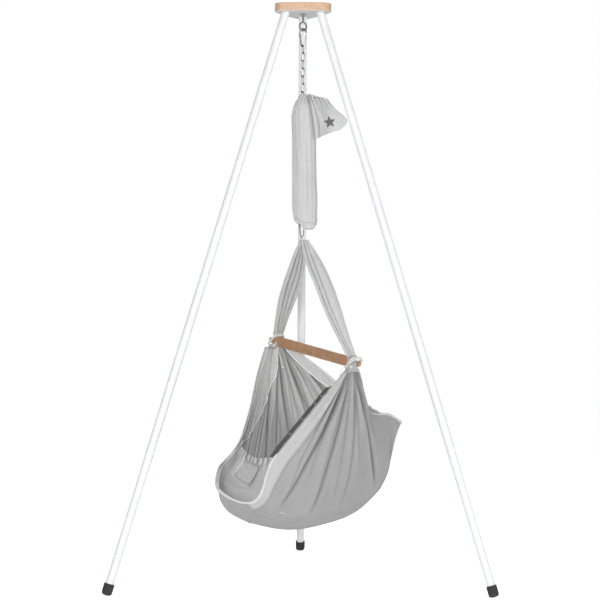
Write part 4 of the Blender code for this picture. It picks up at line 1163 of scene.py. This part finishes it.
# Folds of a strap: (share across at the top, at the middle, at the foot), height in metres, half
# width as a share.
LEFT_STRAP_FOLDS = (((0.14, 0.12, 0.16), 0.0060, 0.07), ((0.28, 0.24, 0.30), -0.0100, 0.040),
                    ((0.42, 0.38, 0.42), 0.0060, 0.08), ((0.56, 0.52, 0.56), -0.0070, 0.035),
                    ((0.68, 0.66, 0.68), 0.0050, 0.08), ((0.80, 0.80, 0.80), -0.0110, 0.035),
                    ((0.93, 0.93, 0.93), 0.0075, 0.060))
LEFT_WIDTHS = (0.022, 0.058, 0.080, 0.078, 0.060, 0.040)
RIGHT_WIDTHS = (0.034, 0.084, 0.092, 0.086, 0.066, 0.042)
STRAP_SHIFT = (0.006, 0.008, 0.008, 0.004, 0.001, 0.0)
STRAP_RISE = 0.0140
RIGHT_STRAP_FOLDS = (((0.06, 0.05, 0.08), 0.0060, 0.07), ((0.20, 0.16, 0.20), -0.0110, 0.045),
                     ((0.34, 0.27, 0.32), 0.0070, 0.07), ((0.48, 0.37, 0.42), -0.0090, 0.045),
                     ((0.72, 0.68, 0.68), 0.0075, 0.20), ((0.97, 0.97, 0.95), -0.0040, 0.06))


def strap_surface(side, across, down):
    sign, tie, offset = (-1, FAR_TIE, GATHER_SIDE) if side == "left" else (1, NEAR_TIE, -GATHER_SIDE)
    folds = LEFT_STRAP_FOLDS if side == "left" else RIGHT_STRAP_FOLDS
    top = np.array(about_axis(0, 0, STRAP_TOP + STRAP_RISE) + BAR_LEVEL * STRAP_SPLIT * 0.8 * sign)
    end = np.array(tie + BAR_SIDE * offset + Vector((0, 0, GATHER_SIZE[2] / 2 + STRAP_END_GAP)))
    s = np.linspace(0, 1, across)[:, None]
    t = np.linspace(0, 1, down)[None, :]
    widths = LEFT_WIDTHS if side == "left" else RIGHT_WIDTHS
    weights = spline_weights(len(widths), t[0] * (len(widths) - 1))
    width, shift = (weights @ np.array(widths))[None], (weights @ np.array(STRAP_SHIFT))[None]
    middle = top + (end - top) * t[..., None] + np.array((1.0, 0, 0)) * shift[..., None]
    height = np.zeros((across, down))
    dark = np.zeros((across, down))
    bunch = 1.0 + 0.5 * (1 - smooth(t, 0.0, 0.18)) + 0.3 * smooth(t, 0.8, 1.0)
    for (first, half, last), tall, wide in folds:
        place = np.where(t < 0.5, first + (half - first) * t * 2, half + (last - half) * (t * 2 - 1))
        place = place + 0.012 * soft_noise(t * 5, t * 0 + first * 40, 41)
        away = (s - place) / wide
        bell = np.exp(-np.abs(away) ** 1.7)
        height += tall * bunch * bell * (0.7 + 0.5 * np.sin(np.pi * t))
        # Painted shade along the valleys of the strap's folds.
        if tall < 0:
            dark += np.exp(-np.abs(away * 1.5) ** 1.3) * 0.95
    height += 0.0014 * soft_noise(s * 7, t * 6, 42) + 0.0008 * soft_noise(s * 17, t * 16, 43)
    height += (0.0020 * (1 - smooth(t, 0, 0.15)) * np.cos(s * 40)
               + 0.0020 * smooth(t, 0.86, 1.0) * np.cos(s * 46))
    roll = smooth(s, 0.93, 1.0) * -0.006 + (1 - smooth(s, 0.0, 0.07)) * -0.005
    outward = np.array(BAR_LEVEL)
    places = (middle + np.array(BAR_SIDE) * (width * (s - 0.5))[..., None]
              + outward * (height + roll)[..., None])
    return places, np.clip(dark, 0, 1)


def make_straps():
    made = []
    for side, look in (("left", COTTON_STRAP_PAINTED_SHADE), ("right", COTTON_STRAP_PALE)):
        places, dark = strap_surface(side, 150, 200)
        strap = shell(f"{side}_strap_cloth", places, 0.0030, look, crease=dark)
        piece(strap, "hammock", "grey_cotton", f"{side}_strap")
        made.append(strap)
        normals = grid_normals(places)
        for number, row in enumerate((6, -7)):
            facing = normals[row]
            facing = facing * np.sign((facing @ np.array(BAR_LEVEL)).mean())
            line = places[row] + facing * 0.0016
            thread = stitches(f"{side}_strap_stitch_{number + 1}", line[6:-6], facing[6:-6], THREAD_GREY)
            piece(thread, "hammock", "grey_cotton")
    return made


# A bundle from the strap's foot down to the cloth's top: (height off the tie, half size along the
# bar's side, half size along the bar).
LEFT_BUNDLE = ((0.0290, 0.0200, 0.0065), (0.0150, 0.0150, 0.0130), (0.0, 0.0125, 0.0170),
               (-0.0140, 0.0250, 0.0100), (-0.0320, 0.0530, 0.0015))
RIGHT_BUNDLE = ((0.0290, 0.0200, 0.0065), (0.0150, 0.0150, 0.0130), (0.0, 0.0125, 0.0170),
                (-0.0120, 0.0200, 0.0110), (-0.0300, 0.0330, 0.0015))


def make_gathers():
    """Pleated bundles beside the bar, from each strap's foot into the hammock's top."""
    made = []
    for side, tie, offset, look, rows in (("left", FAR_TIE, GATHER_SIDE, COTTON_STRAP_PAINTED_SHADE, LEFT_BUNDLE),
                                          ("right", NEAR_TIE, -GATHER_SIDE, COTTON, RIGHT_BUNDLE)):
        centre = np.array(tie + BAR_SIDE * offset)
        turn = np.linspace(0, 2 * np.pi, 160, endpoint=False)[:, None]
        share = np.linspace(0, 1, 60)
        height, wide, deep = curve_through(rows, share).T[:, None, :]
        square = (np.abs(np.cos(turn)) ** 2.6 + np.abs(np.sin(turn)) ** 2.6) ** (-1 / 2.6)
        seed = 51 if side == "left" else 52
        wander = soft_noise(np.cos(turn) * 2 + 9, share[None] * 3 + np.sin(turn), seed)
        pleats = 1 + 0.13 * np.cos(12 * turn + 1.2 * wander) + 0.06 * wander
        side_way, level_way = np.array(BAR_SIDE), np.array(BAR_LEVEL)
        rings = (centre + side_way * (square * pleats * np.cos(turn) * wide)[..., None]
                 + level_way * (square * pleats * np.sin(turn) * deep)[..., None]
                 + np.array((0, 0, 1.0)) * (height + 0 * turn)[..., None])
        bundle = tube_mesh(f"{side}_bundle", rings, look)
        piece(bundle, "hammock", "grey_cotton", f"{side}_gather")
        made.append(bundle)
    return made


def make_ties():
    lean = (BAR_ALONG + Vector((0, 0, 1.0))).normalized()
    along = BAR_SIDE.cross(lean).normalized()
    for side, tie, offset, turns in (("left", FAR_TIE, GATHER_SIDE, 3.0),
                                     ("right", NEAR_TIE, -GATHER_SIDE, 3.5)):
        centre = tie + BAR_SIDE * offset * 0.60
        places = []
        count = int(turns * 44)
        for step in range(count + 1):
            share = step / count
            angle = 2 * math.pi * turns * share
            x, y = math.cos(angle), math.sin(angle)
            reach = (abs(x) ** 4 + abs(y) ** 4) ** -0.25
            wobble = 0.0006 * math.sin(angle * 2.3 + 1.0)
            places.append(centre + BAR_SIDE * (0.0075 + GATHER_SIZE[0] / 2 + 0.005 + wobble) * x * reach
                          + lean * (0.0300 + wobble) * y * reach
                          + along * ((share - 0.5) * 0.0036 * turns + 0.0008 * math.sin(angle)))
        winding = cord_curve(f"{side}_winding", places, 0.0014, CORD)
        piece(winding, "hammock", "white_cord", f"{side}_tie_cord")
        front = Vector((0.0, -1.0, 0.0))
        spots = ((0.010, -0.030, -0.014), (0.002, -0.026, -0.020)) if side == "left" \
            else ((-0.020, -0.028, -0.010), (-0.030, -0.024, -0.018))
        for number, spot in enumerate(spots):
            knot = knot_curve(f"{side}_tie_knot_{number + 1}", tie + Vector(spot), front, 0.0048,
                              0.0016, CORD)
            piece(knot, "hammock", "white_cord")


# ---------------------------------------------------------------- cover and pouch

# (height, left edge, right edge, half depth), from the neck down
COVER_ROWS = ((1.754, -0.011, 0.020, 0.010), (1.744, -0.0145, 0.026, 0.015), (1.730, -0.025, 0.036, 0.021),
              (1.712, -0.0335, 0.043, 0.026), (1.680, -0.0395, 0.047, 0.030),
              (1.620, -0.0375, 0.0485, 0.032), (1.540, -0.0365, 0.0490, 0.033),
              (1.460, -0.0358, 0.0510, 0.033), (1.374, -0.0352, 0.0545, 0.033),
              (1.330, -0.0330, 0.0545, 0.031), (1.300, -0.0255, 0.0530, 0.028),
              (1.284, -0.0130, 0.0500, 0.025), (1.270, -0.0060, 0.0420, 0.021))


def cover_place(turn, share):
    """Places on the cover for arrays of turn (radians) and share down from the neck."""
    side = np.cos(turn)
    # The hem is higher at the left corner.
    foot = 1.2700 + 0.022 * smooth(-side, 0.15, 1.0) + 0.014 * smooth(side, 0.80, 1.0)
    height = 1.754 + (foot - 1.754) * share
    rows = np.array(COVER_ROWS)[::-1]
    left, right, depth = (np.interp(height, rows[:, 0], rows[:, k]) for k in (1, 2, 3))
    half, middle = (right - left) / 2, (right + left) / 2
    neck = 1 - smooth(share, 0.01, 0.09)
    hem = smooth(share, 0.90, 1.0)
    pleat = 1 + (0.050 * neck + 0.015 * hem) * np.cos(11 * turn + 0.6 * np.sin(3 * turn))
    folds = 0.0012 * soft_noise(turn * 15 / math.pi, share * 1.6, 61) + 0.0010 * soft_noise(
        turn * 24 / math.pi, share * 9, 62)
    fade = smooth(turn, 0.0, 0.25) * (1 - smooth(turn, 2 * np.pi - 0.25, 2 * np.pi))
    folds = folds * fade
    crease = np.zeros(np.broadcast(turn, share).shape)
    for at, low, high, deep in ((3.95, 0.05, 0.62, 0.0022), (4.35, 0.0, 0.35, 0.0020),
                                (4.85, 0.30, 0.97, 0.0020), (5.35, 0.05, 0.80, 0.0018),
                                (1.1, 0.1, 0.9, 0.002), (2.1, 0.0, 0.7, 0.002)):
        lane = np.exp(-((turn - at - 0.12 * np.sin(share * 5 + at)) / 0.055) ** 2)
        crease = crease + lane * smooth(share, low, low + 0.15) * (1 - smooth(share, high - 0.2, high)) * deep
    x = middle + (half * pleat + folds - crease) * np.cos(turn)
    y = (depth * pleat + folds - crease) * np.sin(turn)
    places = np.stack(np.broadcast_arrays(x, y + STAND_Y, height), -1)
    # Painted shade: the creases and the pleats at the neck come out darker.
    return places, np.clip(crease / 0.0060 + 0.35 * neck * (0.5 - 0.5 * np.cos(11 * turn)), 0, 1)


def make_cover():
    turn = np.linspace(0, 2 * np.pi, 220, endpoint=False)[:, None]
    share = np.linspace(0, 1, 170)[None, :]
    places, dark = cover_place(turn, share)
    cover = shell("cover_sleeve", places, 0.0018, COTTON_COVER, wrap=True, crease=dark)
    piece(cover, "lower_chain", "grey_cotton", "spring_cover")
    # The hem is a folded band with a row of stitches over it.
    ring = np.linspace(0, 2 * np.pi, 260)
    for name, low, high in (("cover_hem", 0.955, 1.004), ("cover_collar", -0.004, 0.022)):
        band_share = np.linspace(low, high, 9)[None, :]
        band, _ = cover_place(np.linspace(0, 2 * np.pi, 220, endpoint=False)[:, None], band_share)
        middle = band.mean(axis=0, keepdims=True)
        out = unit((band - middle) * np.array((1, 1, 0)))
        hem = shell(name, band + out * 0.0016, 0.0014, COTTON_COVER, wrap=True)
        piece(hem, "lower_chain", "grey_cotton")
    line, _ = cover_place(ring, np.full(ring.shape, 0.957))
    out = unit((line - line.mean(axis=0)) * np.array((1, 1, 0)))
    piece(stitches("cover_hem_stitch", line + out * 0.0026, out, THREAD_GREY), "lower_chain", "grey_cotton")
    # The side seam, front left.
    down = np.linspace(0.04, 0.95, 200)
    seam, _ = cover_place(np.full(down.shape, 3.35), down)
    out = np.tile(np.array((-0.98, -0.2, 0.0)), (200, 1))
    piece(stitches("cover_side_stitch", seam + out * 0.0010, out, THREAD_GREY), "lower_chain", "grey_cotton")
    return cover


POUCH_LEFT = ((0.022, -0.024, 1.757), (0.030, -0.031, 1.716), (0.040, -0.034, 1.655), (0.0475, -0.031, 1.592))
POUCH_RIGHT = ((0.086, -0.006, 1.744), (0.118, -0.003, 1.706), (0.1625, 0.002, 1.664), (0.136, -0.002, 1.629))


def pouch_middle(s, t):
    """The middle of the pouch, with the folds that fan out from its neck."""
    s, t = np.broadcast_arrays(np.asarray(s, float), np.asarray(t, float))
    left = curve_through(POUCH_LEFT, t.reshape(-1)).reshape(*t.shape, 3)
    right = curve_through(POUCH_RIGHT, t.reshape(-1)).reshape(*t.shape, 3)
    places = left + (right - left) * s[..., None]
    places[..., 2] += 0.006 * np.sin(np.pi * s) * (t - 0.5)
    neck = 1 - smooth(t, 0.02, 0.42)
    fan = 0.0042 * neck * np.cos(2 * np.pi * (s * 4.5 + 0.2)) + 0.0016 * soft_noise(s * 7, t * 3, 71)
    fold = -0.0045 * np.exp(-((s - 0.10 - 0.06 * t) / 0.035) ** 2) * smooth(t, 0.1, 0.3)
    fold -= 0.0035 * np.exp(-((s - 0.30 + 0.1 * t) / 0.03) ** 2) * (1 - smooth(t, 0.25, 0.55))
    places[..., 1] += STAND_Y - (fan + fold)
    # Painted shade in the fold and between the pleats at the neck.
    dark = np.clip(-fold / 0.0045 + neck * (0.45 - 0.45 * np.cos(2 * np.pi * (s * 4.5 + 0.2))), 0, 1)
    return places, dark


def pouch_thickness(s, t):
    across, down = np.clip(s, 0, 1), np.clip(t * 0.93 + 0.05, 0, 1)
    return 0.0030 + 0.0085 * np.sin(np.pi * across) ** 0.6 * np.sin(np.pi * down) ** 0.7


def pouch_front(s, t, lift):
    """Places on the pouch's front, raised by lift."""
    places, _ = pouch_middle(s, t)
    places = np.array(places)
    places[..., 1] -= pouch_thickness(s, t) / 2 + lift
    return places


def make_pouch():
    s = np.linspace(0, 1, 90)[:, None]
    t = np.linspace(0, 1, 90)[None, :]
    places, dark = pouch_middle(s, t)
    pouch = shell("pouch_cloth", places, pouch_thickness(s, t), COTTON_COVER, crease=dark)
    piece(pouch, "lower_chain", "grey_cotton", "cover_pouch")
    border = [(0.03, k / 40) for k in range(2, 39)] + [(k / 40, 0.965) for k in range(2, 39)] \
        + [(0.97, 1 - k / 40) for k in range(2, 39)]
    line = np.array(border)
    path = pouch_front(line[:, 0], line[:, 1], 0.0002)
    out = np.tile(np.array((0.0, -1.0, 0.0)), (len(path), 1))
    piece(stitches("pouch_stitch", path, out, THREAD_GREY), "lower_chain", "grey_cotton")
    # A plain five-pointed star patch.
    fine = np.linspace(0, 1, 240)
    front = pouch_front(*np.meshgrid(fine, fine, indexing="ij"), 0.0005).reshape(-1, 3)
    path, faces = [], []
    count, rings = 40, 8
    for ring in range(rings + 1):
        for ray in range(count):
            angle = 2 * math.pi * ray / count + math.pi / 2
            tip = abs((ray / 4) % 2 - 1)
            reach = 0.023 / (1 + 1.25 * (1 - tip)) * ring / rings
            x, z = 0.098 + reach * math.cos(angle + 0.2), 1.655 + reach * math.sin(angle + 0.2)
            nearest = np.argmin((front[:, 0] - x) ** 2 + (front[:, 2] - z) ** 2)
            path.append((x, front[nearest, 1], z))
    path = np.array(path)
    for ring in range(rings):
        for ray in range(count):
            low, high = ring * count + ray, ring * count + (ray + 1) % count
            faces.append((low, high, high + count, low + count))
    mesh = bpy.data.meshes.new("star")
    mesh.from_pydata(path.tolist(), [], faces)
    bm = bmesh.new()
    bm.from_mesh(mesh)
    bmesh.ops.remove_doubles(bm, verts=bm.verts, dist=1e-6)
    bmesh.ops.recalc_face_normals(bm, faces=bm.faces)
    bm.to_mesh(mesh)
    bm.free()
    mesh.materials.append(cotton("cotton_star", 0.10, weave_map=None))
    mesh.shade_smooth()
    star = link("star_patch", mesh)
    thick = star.modifiers.new("thick", "SOLIDIFY")
    thick.thickness = 0.0008
    piece(star, "lower_chain", "dark_grey_cotton")
    # Two eyelets and the end of the drawcord at the neck.
    eyelet_metal = zinc("eyelet_metal", 0.10)
    for number, (across, down) in enumerate(((0.24, 0.10), (0.50, 0.075))):
        centre = pouch_front(np.array([across]), np.array([down]), 0.0004)[0]
        ring = turned_piece(f"pouch_eyelet_{number + 1}", centre, (0.05, -1, 0.05),
                            ((0.0017, 0.0002), (0.0022, 0.0012), (0.0030, 0.0014), (0.0038, 0.0008),
                             (0.0041, 0.0)),
                            eyelet_metal)
        piece(ring, "lower_chain", "grey_cotton")
    start = Vector(pouch_front(np.array([0.90]), np.array([0.05]), 0.002)[0])
    route = [tuple(start + Vector(step)) for step in ((-0.014, -0.001, 0.004), (-0.004, -0.003, 0.003),
                                                     (0.004, -0.002, -0.002), (0.006, 0.0, -0.009))]
    drawcord = cord_curve("pouch_drawcord", curve_through(route, np.linspace(0, 1, 24)), 0.0014, CORD)
    piece(drawcord, "lower_chain", "white_cord")
    return pouch


# ---------------------------------------------------------------- spring and rope

SPRING_R = 0.018
SPRING_WIRE = 0.002
SPRING_TURNS = 16
SPRING_TOP = 1.722
SPRING_BOTTOM = 1.312


SPRING_EYE_R = 0.008



def make_spring():
    """The coil again, smoother, in place of the part's own, and the safety rope inside it."""
    spring_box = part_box("spring")
    coil = []
    steps = SPRING_TURNS * 28
    head = math.radians(60.0)
    whole = math.radians(360.0 * SPRING_TURNS + 70.0)
    top_eye, foot_eye = spring_box[1][2] - SPRING_WIRE - 0.008, spring_box[0][2] + SPRING_WIRE + 0.008
    for step in range(28):
        angle = math.radians(230.0 - 300.0 * step / 27)
        across = SPRING_EYE_R * math.cos(angle)
        coil.append(about_axis(across * math.cos(head), across * math.sin(head),
                               top_eye + SPRING_EYE_R * math.sin(angle)))
    for step in range(steps + 1):
        share = step / steps
        grow = min(1.0, 20 * share, 20 * (1 - share))
        radius = SPRING_R * (0.30 + 0.70 * math.sin(grow * math.pi / 2))
        angle = head + whole * share
        coil.append(about_axis(radius * math.cos(angle), radius * math.sin(angle),
                               SPRING_TOP + (SPRING_BOTTOM - SPRING_TOP) * share))
    foot = head + whole
    for step in range(28):
        angle = math.radians(70.0 - 300.0 * step / 27)
        across = SPRING_EYE_R * math.cos(angle)
        coil.append(about_axis(across * math.cos(foot), across * math.sin(foot),
                               foot_eye + SPRING_EYE_R * math.sin(angle)))
    spring = as_mesh(cord_curve("coil_spring", coil, SPRING_WIRE, STEEL, sides=3))
    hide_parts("spring")
    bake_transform(spring)

    rope_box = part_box("safety_rope")
    top, foot = rope_box[1][2], rope_box[0][2]
    centre = ((rope_box[0][0] + rope_box[1][0]) / 2, (rope_box[0][1] + rope_box[1][1]) / 2)
    strand = []
    for step in range(160):
        share = step / 159
        sway = 0.0012 * math.sin(share * 7 * math.pi)
        strand.append((centre[0] + sway, centre[1] + sway * 0.3, top + (foot - top) * share))
    rope = as_mesh(cord_curve("inner_rope", strand, 0.0020, CORD, sides=3))
    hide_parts("safety_rope")
    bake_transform(rope)


# ---------------------------------------------------------------- CAD pieces that keep their shape

def finish_nodes():
    looks = {
        "white_paint": powder_coat("powder_coat_white"),
        "bare_steel": STEEL,
        "black_rubber": rubber("rubber_black"),
        "grey_plastic": plastic("plastic_grey"),
        "beech": beech("beech_plate", (0.56, 0.385, 0.27), (0.47, 0.305, 0.20), (0, 0, 0), under=0.50),
        "bar_beech": beech("beech_bar", (0.42, 0.245, 0.135), (0.29, 0.155, 0.080), (0, 0, math.radians(50))),
        "white_cord": CORD,
        "black_webbing": WEBBING,
    }
    slots = {part["node"]: part["material_slot"] for part in frame["record"]["subparts"]}
    for name, obj in frame["nodes"].items():
        kind = slots.get(name, "")
        if kind in looks:
            for slot in obj.material_slots:
                slot.material = looks[kind]


# ---------------------------------------------------------------- floor, lights

def make_stage():
    bm = bmesh.new()
    bmesh.ops.create_grid(bm, x_segments=2, y_segments=2, size=14.0)
    mesh = bpy.data.meshes.new("floor")
    bm.to_mesh(mesh)
    bm.free()
    look = Shading("floor_white", 0.9)
    speck = look.noise(look.place(), 3.0)
    look.colour(look.ramp(speck, ((0.3, grey(0.93)), (0.7, grey(0.95)))))
    look.shader.inputs["Emission Color"].default_value = (1, 1, 1, 1)
    # It glows for the eye only, so that it lifts nothing from below.
    seen = look.node("ShaderNodeLightPath").outputs["Is Camera Ray"]
    glow = look.math("ADD", look.math("MULTIPLY", seen, 0.40), 0.22)
    look.join(glow, look.shader.inputs["Emission Strength"])
    mesh.materials.append(look.mat)
    floor = link("floor", mesh)
    floor.location.z = -0.0005

    world = bpy.data.worlds.new("studio")
    bpy.context.scene.world = world
    world.use_nodes = True
    tree = world.node_tree
    back = tree.nodes["Background"]
    path = tree.nodes.new("ShaderNodeLightPath")
    mixed = tree.nodes.new("ShaderNodeMix")
    mixed.data_type = "FLOAT"
    mixed.inputs["A"].default_value = WORLD_LIGHT
    mixed.inputs["B"].default_value = 1.0
    tree.links.new(path.outputs["Is Camera Ray"], mixed.inputs["Factor"])
    tree.links.new(mixed.outputs["Result"], back.inputs["Strength"])
    back.inputs["Color"].default_value = (1, 1, 1, 1)
    for name, place, aim, size, watts in LIGHTS:
        data = bpy.data.lights.new(name, "AREA")
        data.shape = "DISK"
        data.size = size
        data.energy = watts
        lamp = link(name, data)
        lamp.location = place
        lamp.rotation_euler = (Vector(aim) - Vector(place)).to_track_quat("-Z", "Y").to_euler()
    bpy.context.scene.view_settings.view_transform = "Standard"


WORLD_LIGHT = 0.40
LIGHTS = (("key", (4.3, -3.5, 2.0), (0, STAND_Y, 0.8), 1.6, 100.0),
          ("front", (-0.7, -6.1, 1.3), (-0.1, STAND_Y, 0.5), 1.2, 200.0),
          ("fill", (-3.2, -4.2, 2.7), (0, STAND_Y, 0.6), 2.0, 30.0),
          ("back", (0.5, 3.6, 2.8), (0, STAND_Y, 0.9), 2.0, 40.0))


# ---------------------------------------------------------------- all together

far, near, base = make_panels()
head_band, foot_band, near_band = make_bands()
make_seams()
lip("head_lip_roll", 0.0, "head_lip_hem")
lip("foot_lip_roll", 1.0, "foot_lip_hem")
belt = make_belt()
make_pads()
straps = make_straps()
make_gathers()
make_ties()
cover = make_cover()
make_pouch()
make_spring()
finish_nodes()
make_stage()
